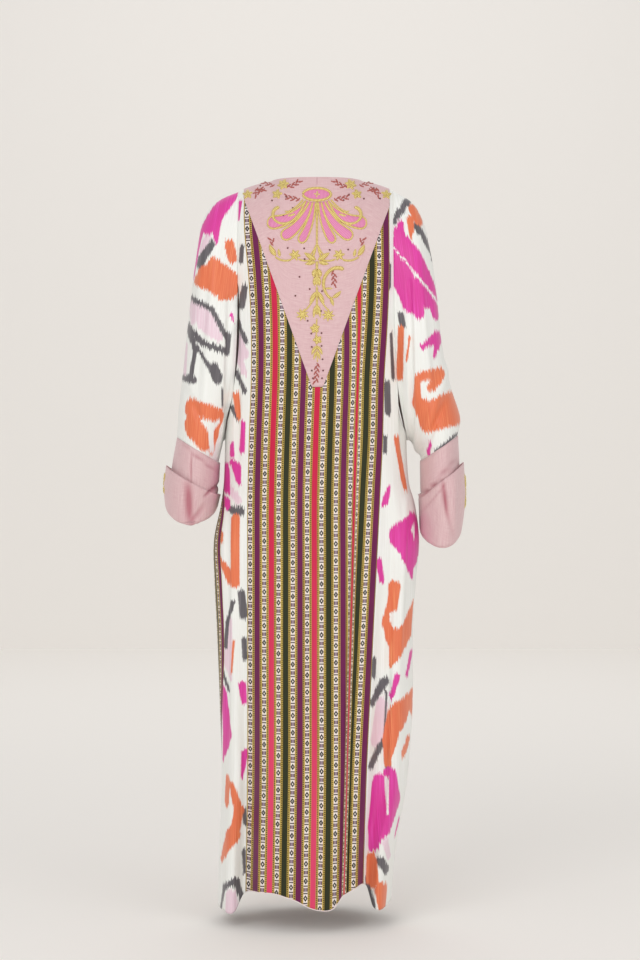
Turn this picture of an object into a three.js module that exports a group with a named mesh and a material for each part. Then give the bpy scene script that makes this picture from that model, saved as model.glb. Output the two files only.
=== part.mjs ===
import * as THREE from 'three';

// A worn full-length ikat dress with dolman sleeves and turned-back cuffs, in millimetres.
// +Z is up, the front faces -Y and +X is the wearer's left. Z = 0 is the height of the neck
// edge on the shoulders. Angles run round the body: 0 at +X, 90 at the back, 270 at the front.

// Cloth and seams
const WALL = 1.4;
const YOKE_WALL = 1.2;
const YOKE_LIFT = 0.8;
const SEAM_GAP = 0.3;
const SEAM_TURN = 0.062;

// Neck and shoulders
const NECK_HALF_WIDTH = 88;
const NECK_BACK_Z = -3;
const NECK_FRONT_DROP = 130;
const SHOULDER_ROUNDING = 120;
const SHOULDER_SEAM_DROP = 0.0003;
const SHOULDER_LINE = [
  { x: 0, z: 34 },
  { x: 30, z: 31 },
  { x: 60, z: 18 },
  { x: 88, z: -3 },
  { x: 110, z: -8 },
  { x: 136, z: -16 },
  { x: 160, z: -26 },
  { x: 180, z: -40 },
];

// Half-widths toward +X and -X, depths toward the back and front, and the squareness of the
// outline at each height
const SECTIONS = [
  { z: 0, left: 173, right: 168, back: 92, front: 96, power: 2.6 },
  { z: -150, left: 176, right: 170, back: 108, front: 118, power: 2.6 },
  { z: -300, left: 178, right: 173, back: 116, front: 130, power: 2.5 },
  { z: -450, left: 182, right: 177, back: 110, front: 126, power: 2.4 },
  { z: -600, left: 186, right: 183, back: 110, front: 124, power: 2.3 },
  { z: -650, left: 192, right: 196, back: 113, front: 126, power: 2.3 },
  { z: -720, left: 206, right: 204, back: 118, front: 130, power: 2.25 },
  { z: -800, left: 205, right: 198, back: 124, front: 134, power: 2.2 },
  { z: -900, left: 200, right: 192, back: 130, front: 138, power: 2.2 },
  { z: -1050, left: 194, right: 191, back: 140, front: 146, power: 2.2 },
  { z: -1200, left: 190, right: 180, back: 152, front: 154, power: 2.2 },
  { z: -1330, left: 195, right: 158, back: 163, front: 160, power: 2.2 },
  { z: -1450, left: 198, right: 147, back: 172, front: 165, power: 2.2 },
];

// Height of the hem round the body
const HEM_LINE = [
  { angle: -45, z: -1412 },
  { angle: -22, z: -1434 },
  { angle: 0, z: -1443 },
  { angle: 22, z: -1447 },
  { angle: 37, z: -1446 },
  { angle: 46, z: -1410 },
  { angle: 64, z: -1402 },
  { angle: 79, z: -1413 },
  { angle: 90, z: -1432 },
  { angle: 100, z: -1430 },
  { angle: 110, z: -1404 },
  { angle: 127, z: -1392 },
  { angle: 136, z: -1434 },
  { angle: 155, z: -1438 },
  { angle: 180, z: -1430 },
  { angle: 205, z: -1426 },
  { angle: 230, z: -1412 },
  { angle: 270, z: -1432 },
  { angle: 315, z: -1412 },
];

// Folds that move the cloth back or front: valleys have a negative depth, and each deepens
// from its start down to the hem
const BODY_FOLDS = [
  { startZ: -620, startAngle: 48, hemAngle: 46, halfAngle: 13, depth: -52 },
  { startZ: -560, startAngle: 131, hemAngle: 127, halfAngle: 13, depth: -50 },
  { startZ: -700, startAngle: 26, hemAngle: 26, halfAngle: 13, depth: 24 },
  { startZ: -700, startAngle: 150, hemAngle: 148, halfAngle: 14, depth: 24 },
  { startZ: -760, startAngle: 82, hemAngle: 92, halfAngle: 9, depth: -7 },
  { startZ: -560, startAngle: 112, hemAngle: 107, halfAngle: 9, depth: -11 },
  { startZ: -900, startAngle: 68, hemAngle: 66, halfAngle: 10, depth: -6 },
  { startZ: -640, startAngle: 226, hemAngle: 232, halfAngle: 14, depth: -30 },
  { startZ: -640, startAngle: 314, hemAngle: 310, halfAngle: 14, depth: -32 },
  { startZ: -820, startAngle: 258, hemAngle: 256, halfAngle: 10, depth: -9 },
  { startZ: -760, startAngle: 284, hemAngle: 286, halfAngle: 9, depth: -8 },
];
const FOLD_GROWTH = 0.9;
const FOLD_END_Z = -1440;

// Edges of the striped panels: x on the back, and degrees away from the side on the front,
// negative where the front panel reaches round to the back
const PANEL_EDGES = [
  { z: 0, backLeft: 145, backRight: 144, frontLeft: 38, frontRight: 38 },
  { z: -100, backLeft: 144, backRight: 143, frontLeft: 39, frontRight: 39 },
  { z: -200, backLeft: 135, backRight: 143, frontLeft: 41, frontRight: 41 },
  { z: -300, backLeft: 130, backRight: 139, frontLeft: 41, frontRight: 41 },
  { z: -400, backLeft: 130, backRight: 133, frontLeft: 40, frontRight: 40 },
  { z: -520, backLeft: 134, backRight: 130, frontLeft: 30, frontRight: 34 },
  { z: -640, backLeft: 137, backRight: 124, frontLeft: -16, frontRight: 26 },
  { z: -760, backLeft: 137, backRight: 118, frontLeft: -24, frontRight: 24 },
  { z: -960, backLeft: 137, backRight: 108, frontLeft: -22, frontRight: 24 },
  { z: -1160, backLeft: 137, backRight: 98, frontLeft: -4, frontRight: 24 },
  { z: -1320, backLeft: 139, backRight: 93, frontLeft: 10, frontRight: 24 },
  { z: -1450, backLeft: 141, backRight: 90, frontLeft: 14, frontRight: 24 },
];

// Degrees from the side to the line below the underarm where the side pieces' columns meet
const SIDE_LINE = [
  { z: -520, left: 0, right: 0 },
  { z: -640, left: 32, right: 0 },
  { z: -760, left: 34, right: 0 },
  { z: -960, left: 33, right: 0 },
  { z: -1160, left: 20, right: 0 },
  { z: -1320, left: 10, right: 0 },
  { z: -1450, left: 6, right: 0 },
];

// Armholes: degrees away from the side at each height, closing at the underarm
const UNDERARM_Z = -520;
const UNDERARM_CLEARANCE = 3.5;
const ARMHOLE = [
  { z: 0, degrees: 30 },
  { z: -150, degrees: 31 },
  { z: -300, degrees: 31 },
  { z: -400, degrees: 28 },
  { z: -450, degrees: 23 },
  { z: -490, degrees: 14 },
  { z: -510, degrees: 6 },
  { z: -520, degrees: 0 },
];

// Points of the pink yokes: tips on the shoulders and a blunt point below
const BACK_YOKE = {
  leftTip: 148,
  leftTipZ: -32,
  rightTip: -146,
  rightTipZ: -50,
  pointX: -1,
  pointHalf: 11,
  pointZ: -418,
};
const FRONT_YOKE = {
  leftTip: 148,
  leftTipZ: -42,
  rightTip: -146,
  rightTipZ: -46,
  pointX: 0,
  pointHalf: 9,
  pointZ: -330,
};

// Grid of the body: distances below the top edge, then even rows to underarm and hem
const TOP_ROWS = [0, 4, 14, 30, 52, 80, 115];
const CHEST_ROWS = 7;
const SKIRT_ROWS = 14;
const PANEL_COLUMNS = 24;
const SIDE_BACK_COLUMNS = 7;
const SIDE_FRONT_COLUMNS = 3;

// Sleeves: each ring lies between the armhole and the cuff seam at its share; the outer line
// is the silhouette over the arm, and puff is how far back and front stand out from the seam
const LEFT_SLEEVE = [
  { share: 0.04, outerX: 186, outerZ: -36, puff: 9 },
  { share: 0.1, outerX: 211, outerZ: -54, puff: 15 },
  { share: 0.17, outerX: 229, outerZ: -86, puff: 18 },
  { share: 0.26, outerX: 238, outerZ: -130, puff: 19 },
  { share: 0.37, outerX: 246, outerZ: -185, puff: 18 },
  { share: 0.49, outerX: 254, outerZ: -250, puff: 16 },
  { share: 0.61, outerX: 262, outerZ: -325, puff: 13 },
  { share: 0.74, outerX: 270, outerZ: -400, puff: 9 },
  { share: 0.87, outerX: 277, outerZ: -462, puff: 5 },
];
const RIGHT_SLEEVE = [
  { share: 0.04, outerX: 186, outerZ: -42, puff: 9 },
  { share: 0.1, outerX: 202, outerZ: -62, puff: 15 },
  { share: 0.17, outerX: 215, outerZ: -92, puff: 18 },
  { share: 0.26, outerX: 226, outerZ: -138, puff: 19 },
  { share: 0.37, outerX: 236, outerZ: -200, puff: 19 },
  { share: 0.49, outerX: 243, outerZ: -265, puff: 17 },
  { share: 0.61, outerX: 252, outerZ: -340, puff: 14 },
  { share: 0.74, outerX: 268, outerZ: -415, puff: 10 },
  { share: 0.87, outerX: 286, outerZ: -474, puff: 6 },
];

// Loops of the cuffs, from the sleeve seam down the inside, round the fold and up outside:
// tilt lifts the outer side, drop lowers back and front
const LEFT_CUFF = [
  { x: 237, halfX: 43, halfY: 90, y: -8, z: -540, tilt: 26, drop: 0 },
  { x: 244, halfX: 47, halfY: 91.5, y: -10, z: -594, tilt: 18, drop: 9 },
  { x: 250, halfX: 47, halfY: 92, y: -12, z: -640, tilt: 0, drop: 38 },
  { x: 250.5, halfX: 49.5, halfY: 94.5, y: -12, z: -644, tilt: 0, drop: 40 },
  { x: 251, halfX: 52.5, halfY: 97.5, y: -12, z: -640, tilt: 0, drop: 38 },
  { x: 251, halfX: 54.6, halfY: 98.5, y: -11, z: -621, tilt: 13, drop: 21 },
  { x: 247.5, halfX: 53.5, halfY: 97.5, y: -10, z: -599, tilt: 29, drop: 6 },
];
const RIGHT_CUFF = [
  { x: 244, halfX: 38, halfY: 92, y: -4, z: -536, tilt: 26, drop: 0 },
  { x: 246, halfX: 39, halfY: 93, y: -6, z: -600, tilt: 18, drop: 8 },
  { x: 248, halfX: 36, halfY: 92, y: -8, z: -688, tilt: 2, drop: 34 },
  { x: 248, halfX: 38.5, halfY: 94.5, y: -8, z: -692, tilt: 2, drop: 36 },
  { x: 248, halfX: 41.5, halfY: 97.5, y: -8, z: -688, tilt: 2, drop: 34 },
  { x: 250.5, halfX: 45.5, halfY: 99, y: -7, z: -640, tilt: 10, drop: 18 },
  { x: 248, halfX: 44.5, halfY: 98, y: -5, z: -596, tilt: 32, drop: 4 },
];

const RADIANS = Math.PI / 180;

// Smooth value of a column of a table whose rows run evenly up or down in another column
function tableValue(table, key, column, at) {
  const rising = table[table.length - 1][key] > table[0][key];
  const last = table.length - 2;
  let row = 0;
  while (row < last && (rising ? at > table[row + 1][key] : at < table[row + 1][key])) {
    row += 1;
  }
  const low = table[row];
  const high = table[row + 1];
  const before = table[Math.max(row - 1, 0)];
  const after = table[Math.min(row + 2, table.length - 1)];
  const step = high[key] - low[key];
  const share = Math.min(Math.max((at - low[key]) / step, 0), 1);
  const lowSlope = ((high[column] - before[column]) / (high[key] - before[key])) * step;
  const highSlope = ((after[column] - low[column]) / (after[key] - low[key])) * step;
  const square = share * share;
  const cube = square * share;
  return low[column] * (2 * cube - 3 * square + 1) + lowSlope * (cube - 2 * square + share)
    + high[column] * (3 * square - 2 * cube) + highSlope * (cube - square);
}

function mix(low, high, share) {
  return low + (high - low) * share;
}

function turnBetween(angle, other) {
  return ((((angle - other) % 360) + 540) % 360) - 180;
}

function shoulderHeight(x) {
  return tableValue(SHOULDER_LINE, 'x', 'z', Math.abs(x));
}

function shoulderRise(x, z) {
  const below = Math.max(shoulderHeight(x) - z, SHOULDER_SEAM_DROP);
  const share = Math.min(below / SHOULDER_ROUNDING, 1);
  return Math.sqrt(1 - (1 - share) ** 2);
}

function foldOffset(angle, z) {
  let offset = 0;
  for (const fold of BODY_FOLDS) {
    const share = Math.min(Math.max((fold.startZ - z) / (fold.startZ - FOLD_END_Z), 0), 1);
    const centre = mix(fold.startAngle, fold.hemAngle, share);
    const turn = turnBetween(angle, centre) / fold.halfAngle;
    if (Math.abs(turn) < 1) {
      offset += fold.depth * share ** FOLD_GROWTH * (0.5 + 0.5 * Math.cos(Math.PI * turn));
    }
  }
  return offset;
}

// Point of the body's outer surface at an angle in degrees and a height
function bodyPoint(angle, z) {
  const cosine = Math.cos(angle * RADIANS);
  const sine = Math.sin(angle * RADIANS);
  const power = 2 / tableValue(SECTIONS, 'z', 'power', z);
  const halfWidth = tableValue(SECTIONS, 'z', cosine >= 0 ? 'left' : 'right', z);
  const depth = tableValue(SECTIONS, 'z', sine >= 0 ? 'back' : 'front', z);
  const x = Math.sign(cosine) * halfWidth * Math.abs(cosine) ** power;
  const y = Math.sign(sine) * depth * Math.abs(sine) ** power * shoulderRise(x, z);
  const offset = foldOffset(angle, z);
  return new THREE.Vector3(x, y + offset * sine, z);
}

// Outward direction of the body's surface; at a shoulder seam it has no part along Y
function bodyNormal(angle, z) {
  const point = bodyPoint(angle, z);
  const below = shoulderHeight(point.x) - z;
  const level = below < 1 ? z - 1 : z;
  const around = bodyPoint(angle + 0.5, level).sub(bodyPoint(angle - 0.5, level));
  const upward = bodyPoint(angle, level + 0.5).sub(bodyPoint(angle, level - 0.5));
  const normal = around.cross(upward);
  if (below < 1) normal.y = 0;
  return normal.normalize();
}

function angleAtX(x, z) {
  const halfWidth = tableValue(SECTIONS, 'z', x >= 0 ? 'left' : 'right', z);
  const power = 2 / tableValue(SECTIONS, 'z', 'power', z);
  const cosine = (Math.min(Math.abs(x) / halfWidth, 1)) ** (1 / power);
  return x >= 0 ? Math.acos(cosine) / RADIANS : 180 - Math.acos(cosine) / RADIANS;
}

function backEdge(side, z) {
  const x = tableValue(PANEL_EDGES, 'z', side > 0 ? 'backLeft' : 'backRight', z);
  return angleAtX(side * x, z);
}

function frontEdge(side, z) {
  const degrees = tableValue(PANEL_EDGES, 'z', side > 0 ? 'frontLeft' : 'frontRight', z);
  return side > 0 ? 360 - degrees : 180 + degrees;
}

function armholeDegrees(z) {
  return Math.max(tableValue(ARMHOLE, 'z', 'degrees', Math.max(z, UNDERARM_Z)), 0);
}

// Top edge of the body above x: the neck line between the shoulders, else the shoulder line
function topEdge(x, isBack) {
  const inward = 1 - Math.abs(x) / NECK_HALF_WIDTH;
  if (inward <= 0) return shoulderHeight(x);
  return isBack ? NECK_BACK_Z : NECK_BACK_Z - NECK_FRONT_DROP * inward ** 0.85;
}

// Top of a column whose angle follows a function of the height
function columnTop(angleAt, isBack) {
  let z = NECK_BACK_Z;
  for (let step = 0; step < 6; step += 1) {
    z = topEdge(bodyPoint(angleAt(z), z).x, isBack);
  }
  return z;
}

function hemHeight(angle) {
  const turn = turnBetween(angle, 135) + 135;
  return tableValue(HEM_LINE, 'angle', 'z', turn);
}

// Heights of the rows of a column from its top edge down to its hem
function columnHeights(top, hem) {
  const heights = TOP_ROWS.map((drop) => top - drop);
  const chest = heights[heights.length - 1];
  for (let row = 1; row <= CHEST_ROWS; row += 1) {
    heights.push(mix(chest, UNDERARM_Z, row / CHEST_ROWS));
  }
  for (let row = 1; row <= SKIRT_ROWS; row += 1) {
    heights.push(mix(UNDERARM_Z, hem, row / SKIRT_ROWS));
  }
  return heights;
}

const UNDERARM_ROW = TOP_ROWS.length - 1 + CHEST_ROWS;

// One column of outer and inner points; angleAt gives its angle at a height
function bodyColumn(angleAt, heights, lift, wall) {
  return heights.map((z) => {
    const point = bodyPoint(angleAt(z), z);
    const normal = bodyNormal(angleAt(z), z);
    return {
      outer: point.clone().addScaledVector(normal, lift),
      inner: point.clone().addScaledVector(normal, lift - wall),
    };
  });
}

// Closed wall from grids of outer and inner points: grid[i][j], with rims on the named sides
function addWall(triangles, grid, rims) {
  const lastI = grid.length - 1;
  const lastJ = grid[0].length - 1;
  const quad = (a, b, c, d) => triangles.push([a, b, c], [a, c, d]);
  for (let i = 0; i < lastI; i += 1) {
    for (let j = 0; j < lastJ; j += 1) {
      const corners = [grid[i][j], grid[i][j + 1], grid[i + 1][j + 1], grid[i + 1][j]];
      const [a, b, c, d] = corners;
      quad(a.outer, b.outer, c.outer, d.outer);
      quad(c.inner, b.inner, a.inner, d.inner);
    }
  }
  const rim = (p, q) => quad(p.outer, p.inner, q.inner, q.outer);
  for (let j = 0; j < lastJ; j += 1) {
    if (rims.includes('firstColumn')) rim(grid[0][j], grid[0][j + 1]);
    if (rims.includes('lastColumn')) rim(grid[lastI][j + 1], grid[lastI][j]);
  }
  for (let i = 0; i < lastI; i += 1) {
    if (rims.includes('firstRow')) rim(grid[i + 1][0], grid[i][0]);
    if (rims.includes('lastRow')) rim(grid[i][lastJ], grid[i + 1][lastJ]);
  }
}

function signedVolume(triangles) {
  let volume = 0;
  for (const [a, b, c] of triangles) {
    volume += a.dot(b.clone().cross(c)) / 6;
  }
  return volume;
}

function meshFrom(name, triangles, material) {
  const turned = signedVolume(triangles) < 0;
  const positions = [];
  for (const [a, b, c] of triangles) {
    for (const point of turned ? [a, c, b] : [a, b, c]) {
      positions.push(point.x, point.y, point.z);
    }
  }
  const geometry = new THREE.BufferGeometry();
  geometry.setAttribute('position', new THREE.Float32BufferAttribute(positions, 3));
  geometry.computeVertexNormals();
  const mesh = new THREE.Mesh(geometry, material);
  mesh.name = name;
  return mesh;
}

// Angle of a column of a striped panel or its yoke, kept half a seam gap inside its edges
function panelAngle(isBack, share, z) {
  const left = isBack ? backEdge(1, z) : frontEdge(1, z);
  const right = isBack ? backEdge(-1, z) : frontEdge(-1, z);
  const inset = isBack ? SEAM_TURN : -SEAM_TURN;
  return mix(right - inset, left + inset, share);
}

function panelWall(isBack) {
  const grid = [];
  for (let column = 0; column <= PANEL_COLUMNS; column += 1) {
    const angleAt = (z) => panelAngle(isBack, column / PANEL_COLUMNS, z);
    const heights = columnHeights(columnTop(angleAt, isBack), hemHeight(angleAt(FOLD_END_Z)));
    grid.push(bodyColumn(angleAt, heights, 0, WALL));
  }
  const triangles = [];
  addWall(triangles, grid, ['firstColumn', 'lastColumn', 'firstRow', 'lastRow']);
  return triangles;
}

// Lower edge of a yoke above x: straight from each tip to the blunt point
function yokeEdge(yoke, x) {
  const side = x > yoke.pointX ? 1 : -1;
  const inner = yoke.pointX + side * yoke.pointHalf;
  const tip = side > 0 ? yoke.leftTip : yoke.rightTip;
  const tipZ = side > 0 ? yoke.leftTipZ : yoke.rightTipZ;
  const share = Math.min(Math.max((x - inner) / (tip - inner), 0), 1);
  return mix(yoke.pointZ, tipZ, share);
}

// Yoke on its panel's columns and rows, ending at the yoke's lower edge
function yokeWall(isBack, yoke) {
  const grid = [];
  for (let column = 0; column <= PANEL_COLUMNS; column += 1) {
    const angleAt = (z) => panelAngle(isBack, column / PANEL_COLUMNS, z);
    const top = columnTop(angleAt, isBack);
    let end = top;
    for (let step = 0; step < 12; step += 1) {
      end = mix(end, yokeEdge(yoke, bodyPoint(angleAt(end), end).x), 0.6);
    }
    const panelHeights = columnHeights(top, UNDERARM_Z - 1).slice(0, UNDERARM_ROW + 1);
    const heights = panelHeights.map((z) => Math.max(z, end));
    grid.push(bodyColumn(angleAt, heights, YOKE_LIFT + YOKE_WALL, YOKE_WALL));
  }
  const triangles = [];
  addWall(triangles, grid, ['firstColumn', 'lastColumn', 'firstRow', 'lastRow']);
  return triangles;
}

function sideAngle(side, degrees) {
  return side > 0 ? degrees : 180 - degrees;
}

// Columns of a side piece from its outer edge (a panel) to its inner edge at each height
function sideColumns(side, count, outerDegrees, innerDegrees, heightsOf) {
  const columns = [];
  for (let column = 0; column <= count; column += 1) {
    const angleAt = (z) => sideAngle(side, mix(outerDegrees(z), innerDegrees(z), column / count));
    columns.push(bodyColumn(angleAt, heightsOf(angleAt), 0, WALL));
  }
  return columns;
}

// Side piece: a skirt from the back panel round to the front panel, with a narrow strip up
// each edge of the armhole
function sideWall(side) {
  const back = (z) => turnBetween(sideAngle(side, backEdge(side, z)), 0) - SEAM_TURN;
  const front = (z) => turnBetween(sideAngle(side, frontEdge(side, z)), 0) + SEAM_TURN;
  const skirtHeights = (angleAt) => {
    const hem = hemHeight(angleAt(FOLD_END_Z));
    return columnHeights(0, hem).slice(UNDERARM_ROW);
  };
  const stripHeights = (isBack) => (angleAt) => {
    return columnHeights(columnTop(angleAt, isBack), UNDERARM_Z - 1).slice(0, UNDERARM_ROW + 1);
  };
  const middle = (z) => tableValue(SIDE_LINE, 'z', side > 0 ? 'left' : 'right', z);
  const armBack = (z) => armholeDegrees(z);
  const armFront = (z) => -armholeDegrees(z);
  const triangles = [];
  const skirtBack = sideColumns(side, SIDE_BACK_COLUMNS, back, middle, skirtHeights);
  const skirtFront = sideColumns(side, SIDE_FRONT_COLUMNS, middle, front, skirtHeights);
  addWall(triangles, skirtBack, ['firstColumn', 'lastRow']);
  addWall(triangles, skirtFront, ['lastColumn', 'lastRow']);
  const stripBack = sideColumns(side, SIDE_BACK_COLUMNS, back, armBack, stripHeights(true));
  const stripFront = sideColumns(side, SIDE_FRONT_COLUMNS, armFront, front, stripHeights(false));
  addWall(triangles, stripBack, ['firstColumn', 'lastColumn', 'firstRow']);
  addWall(triangles, stripFront, ['firstColumn', 'lastColumn', 'firstRow']);
  return triangles;
}

// Armhole loop: from the shoulder down the back to the underarm and up the front
function armholeLoop(side) {
  const edge = (isBack) => {
    const angleAt = (z) => sideAngle(side, (isBack ? 1 : -1) * armholeDegrees(z));
    const top = columnTop(angleAt, isBack);
    const heights = columnHeights(top, UNDERARM_Z - 1).slice(0, UNDERARM_ROW + 1);
    return heights.map((z) => {
      return { point: bodyPoint(angleAt(z), z), normal: bodyNormal(angleAt(z), z) };
    });
  };
  const back = edge(true);
  const front = edge(false);
  back[0].point.y = 0;
  const loop = back.concat(front.slice(1, -1).reverse());
  const count = loop.length;
  return loop.map(({ point, normal }, index) => {
    const next = loop[(index + 1) % count].point;
    const before = loop[(index + count - 1) % count].point;
    const along = next.clone().sub(before);
    const away = along.cross(normal).normalize().multiplyScalar(side);
    return { point, normal, away };
  });
}

// Turn of each armhole vertex round the sleeve, in proportion to its distance along the loop
function loopTurns(loop) {
  const half = UNDERARM_ROW;
  const lengths = [0];
  for (let index = 1; index <= loop.length; index += 1) {
    const step = loop[index % loop.length].point.distanceTo(loop[index - 1].point);
    lengths.push(lengths[index - 1] + step);
  }
  const total = lengths[loop.length];
  return loop.map((_, index) => (index <= half
    ? (Math.PI * lengths[index]) / lengths[half]
    : Math.PI + (Math.PI * (lengths[index] - lengths[half])) / (total - lengths[half])));
}

function cuffPoint(row, side, turn) {
  const cosine = Math.cos(turn);
  const sine = Math.sin(turn);
  const z = row.z + row.tilt * cosine - row.drop * Math.sqrt(sine * sine + 0.01);
  return new THREE.Vector3(side * (row.x + row.halfX * cosine), row.y + row.halfY * sine, z);
}

function cuffNormal(row, side, turn) {
  const outward = new THREE.Vector3(Math.cos(turn) / row.halfX, Math.sin(turn) / row.halfY, 0);
  outward.x *= side;
  return outward.normalize();
}

function gridNormal(points, ring, index) {
  const count = points[0].length;
  const next = points[Math.min(ring + 1, points.length - 1)][index];
  const before = points[Math.max(ring - 1, 0)][index];
  const left = points[ring][(index + 1) % count];
  const right = points[ring][(index + count - 1) % count];
  return next.clone().sub(before).cross(left.clone().sub(right)).normalize();
}

// First vertex of the sleeve beside its armhole vertex, turned about the seam toward `next`:
// it continues the body at the shoulder and folds back down beside the body at the underarm
function seamVertex({ point, normal, away }, next) {
  const toward = next.clone().sub(point);
  const turn = Math.atan2(toward.dot(normal), toward.dot(away));
  const outer = point.clone()
    .addScaledVector(away, SEAM_GAP * Math.cos(turn / 2))
    .addScaledVector(normal, SEAM_GAP * Math.sin(Math.abs(turn) / 2));
  const inner = outer.clone()
    .addScaledVector(normal, -WALL * Math.cos(turn))
    .addScaledVector(away, WALL * Math.sin(turn));
  return { outer, inner };
}

// Sleeve: rings that swing from the armhole to the cuff seam
function sleeveWall(side, rings, cuff) {
  const loop = armholeLoop(side);
  const turns = loopTurns(loop);
  const start = loop.map(({ point }) => point);
  const end = turns.map((turn) => cuffPoint(cuff[0], side, turn));
  const rows = [start];
  for (const ring of rings) {
    const outer = new THREE.Vector3(side * ring.outerX, 0, ring.outerZ);
    outer.y = mix(start[0].y, end[0].y, ring.share);
    const shift = outer.sub(start[0].clone().lerp(end[0], ring.share));
    rows.push(start.map((point, index) => {
      const turn = turns[index];
      const pull = ((1 + Math.cos(turn)) / 2) ** 1.5;
      const moved = point.clone().lerp(end[index], ring.share).addScaledVector(shift, pull);
      moved.y += ring.puff * Math.sin(turn);
      moved.x += side * UNDERARM_CLEARANCE * ((1 - Math.cos(turn)) / 2) ** 2;
      return moved;
    }));
  }
  rows.push(end);
  const last = rows.length - 1;
  const grid = rows.map((points, ring) => {
    const row = points.map((point, index) => {
      if (ring === 0) return seamVertex(loop[index], rows[1][index]);
      const normal = ring === last
        ? cuffNormal(cuff[0], side, turns[index])
        : gridNormal(rows, ring, index).multiplyScalar(-side);
      return { outer: point, inner: point.clone().addScaledVector(normal, -WALL) };
    });
    return row.concat([row[0]]);
  });
  const triangles = [];
  addWall(triangles, grid, ['firstColumn', 'lastColumn']);
  return triangles;
}

// Cuff: a band sewn below the sleeve, folded at the bottom and turned back up outside
function cuffWall(side, cuff) {
  const turns = loopTurns(armholeLoop(side));
  const rows = cuff.map((row) => turns.map((turn) => cuffPoint(row, side, turn)));
  for (const point of rows[0]) {
    point.z -= SEAM_GAP;
  }
  const grid = rows.map((points, ring) => {
    const row = points.map((point, index) => {
      const normal = ring === 0
        ? cuffNormal(cuff[0], side, turns[index])
        : gridNormal(rows, ring, index).multiplyScalar(-side);
      return { outer: point, inner: point.clone().addScaledVector(normal, -WALL) };
    });
    return row.concat([row[0]]);
  });
  const triangles = [];
  addWall(triangles, grid, ['firstColumn', 'lastColumn']);
  return triangles;
}

function clothMaterial(color, roughness) {
  return new THREE.MeshStandardMaterial({ color, roughness, metalness: 0, side: THREE.FrontSide });
}

const striped = clothMaterial(0x8a4a4a, 0.7);
const ikat = clothMaterial(0xe9dfe2, 0.6);
const pink = clothMaterial(0xe0b6b6, 0.75);

const dress = new THREE.Group();
dress.name = 'worn_ikat_dress';
dress.add(meshFrom('back_panel', panelWall(true), striped));
dress.add(meshFrom('front_panel', panelWall(false), striped));
dress.add(meshFrom('back_yoke', yokeWall(true, BACK_YOKE), pink));
dress.add(meshFrom('front_yoke', yokeWall(false, FRONT_YOKE), pink));
dress.add(meshFrom('side_left', sideWall(1), ikat));
dress.add(meshFrom('side_right', sideWall(-1), ikat));
dress.add(meshFrom('sleeve_left', sleeveWall(1, LEFT_SLEEVE, LEFT_CUFF), ikat));
dress.add(meshFrom('sleeve_right', sleeveWall(-1, RIGHT_SLEEVE, RIGHT_CUFF), ikat));
dress.add(meshFrom('cuff_left', cuffWall(1, LEFT_CUFF), pink));
dress.add(meshFrom('cuff_right', cuffWall(-1, RIGHT_CUFF), pink));

export default dress;
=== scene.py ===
"""Looks of the worn ikat dress: cloth shells on the solids' own surfaces, woven stripes, ikat
dyeing, slubbed silk, gold embroidery, and the plain studio it stands in."""

import math

import bmesh
import bpy
import numpy as np
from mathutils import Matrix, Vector


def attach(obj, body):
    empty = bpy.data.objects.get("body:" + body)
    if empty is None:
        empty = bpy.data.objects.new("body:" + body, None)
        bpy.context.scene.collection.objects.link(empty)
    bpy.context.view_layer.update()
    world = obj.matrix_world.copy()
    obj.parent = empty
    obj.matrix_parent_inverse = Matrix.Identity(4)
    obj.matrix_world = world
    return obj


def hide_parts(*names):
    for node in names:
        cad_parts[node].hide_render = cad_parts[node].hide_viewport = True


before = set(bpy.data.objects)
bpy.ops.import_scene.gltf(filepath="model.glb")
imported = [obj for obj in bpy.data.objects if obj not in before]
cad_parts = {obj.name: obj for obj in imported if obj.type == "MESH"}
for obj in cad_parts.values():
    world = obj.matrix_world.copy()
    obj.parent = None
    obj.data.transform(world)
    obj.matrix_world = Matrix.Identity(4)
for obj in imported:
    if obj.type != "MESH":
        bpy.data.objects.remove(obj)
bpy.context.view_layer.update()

MM = 0.001


class Table:
    """Rows of numbers under named columns, read as smooth curves."""

    def __init__(self, names, *rows):
        self.columns = dict(zip(names.split(), np.array(rows, dtype=float).T))

    def rows(self):
        names = list(self.columns)
        return [dict(zip(names, row)) for row in zip(*self.columns.values())]

    def value(self, key, column, at):
        keys = self.columns[key]
        values = self.columns[column]
        if keys[-1] < keys[0]:
            keys = keys[::-1]
            values = values[::-1]
        at = np.asarray(at, dtype=float)
        row = np.clip(np.searchsorted(keys, at) - 1, 0, len(keys) - 2)
        before = np.maximum(row - 1, 0)
        after = np.minimum(row + 2, len(keys) - 1)
        step = keys[row + 1] - keys[row]
        share = np.clip((at - keys[row]) / step, 0, 1)
        low_slope = (values[row + 1] - values[before]) / (keys[row + 1] - keys[before]) * step
        high_slope = (values[after] - values[row]) / (keys[after] - keys[row]) * step
        square = share**2
        cube = share**3
        return (
            values[row] * (2 * cube - 3 * square + 1)
            + low_slope * (cube - 2 * square + share)
            + values[row + 1] * (3 * square - 2 * cube)
            + high_slope * (cube - square)
        )


# ---- Sizes of the dress, in millimetres and degrees; the tables are those of the solids

SHELL = 1.1
JOIN_DISTANCE = 0.05
SEAM_TURN = 0.03
NECK_HALF_WIDTH = 88
NECK_BACK_Z = -3
NECK_FRONT_DROP = 130
NECK_CURVE = 0.85
SHOULDER_ROUNDING = 120
SHOULDER_ROWS = 26
SHOULDER_SEAM_DROP = 0.0003
FOLD_GROWTH = 0.9
FOLD_END_Z = -1440
UNDERARM_Z = -520
UNDERARM_CLEARANCE = 3.5
TOP_TRIES = 8
HEM_MIDDLE_ANGLE = 135
YOKE_LIFT = 1.6

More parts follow.
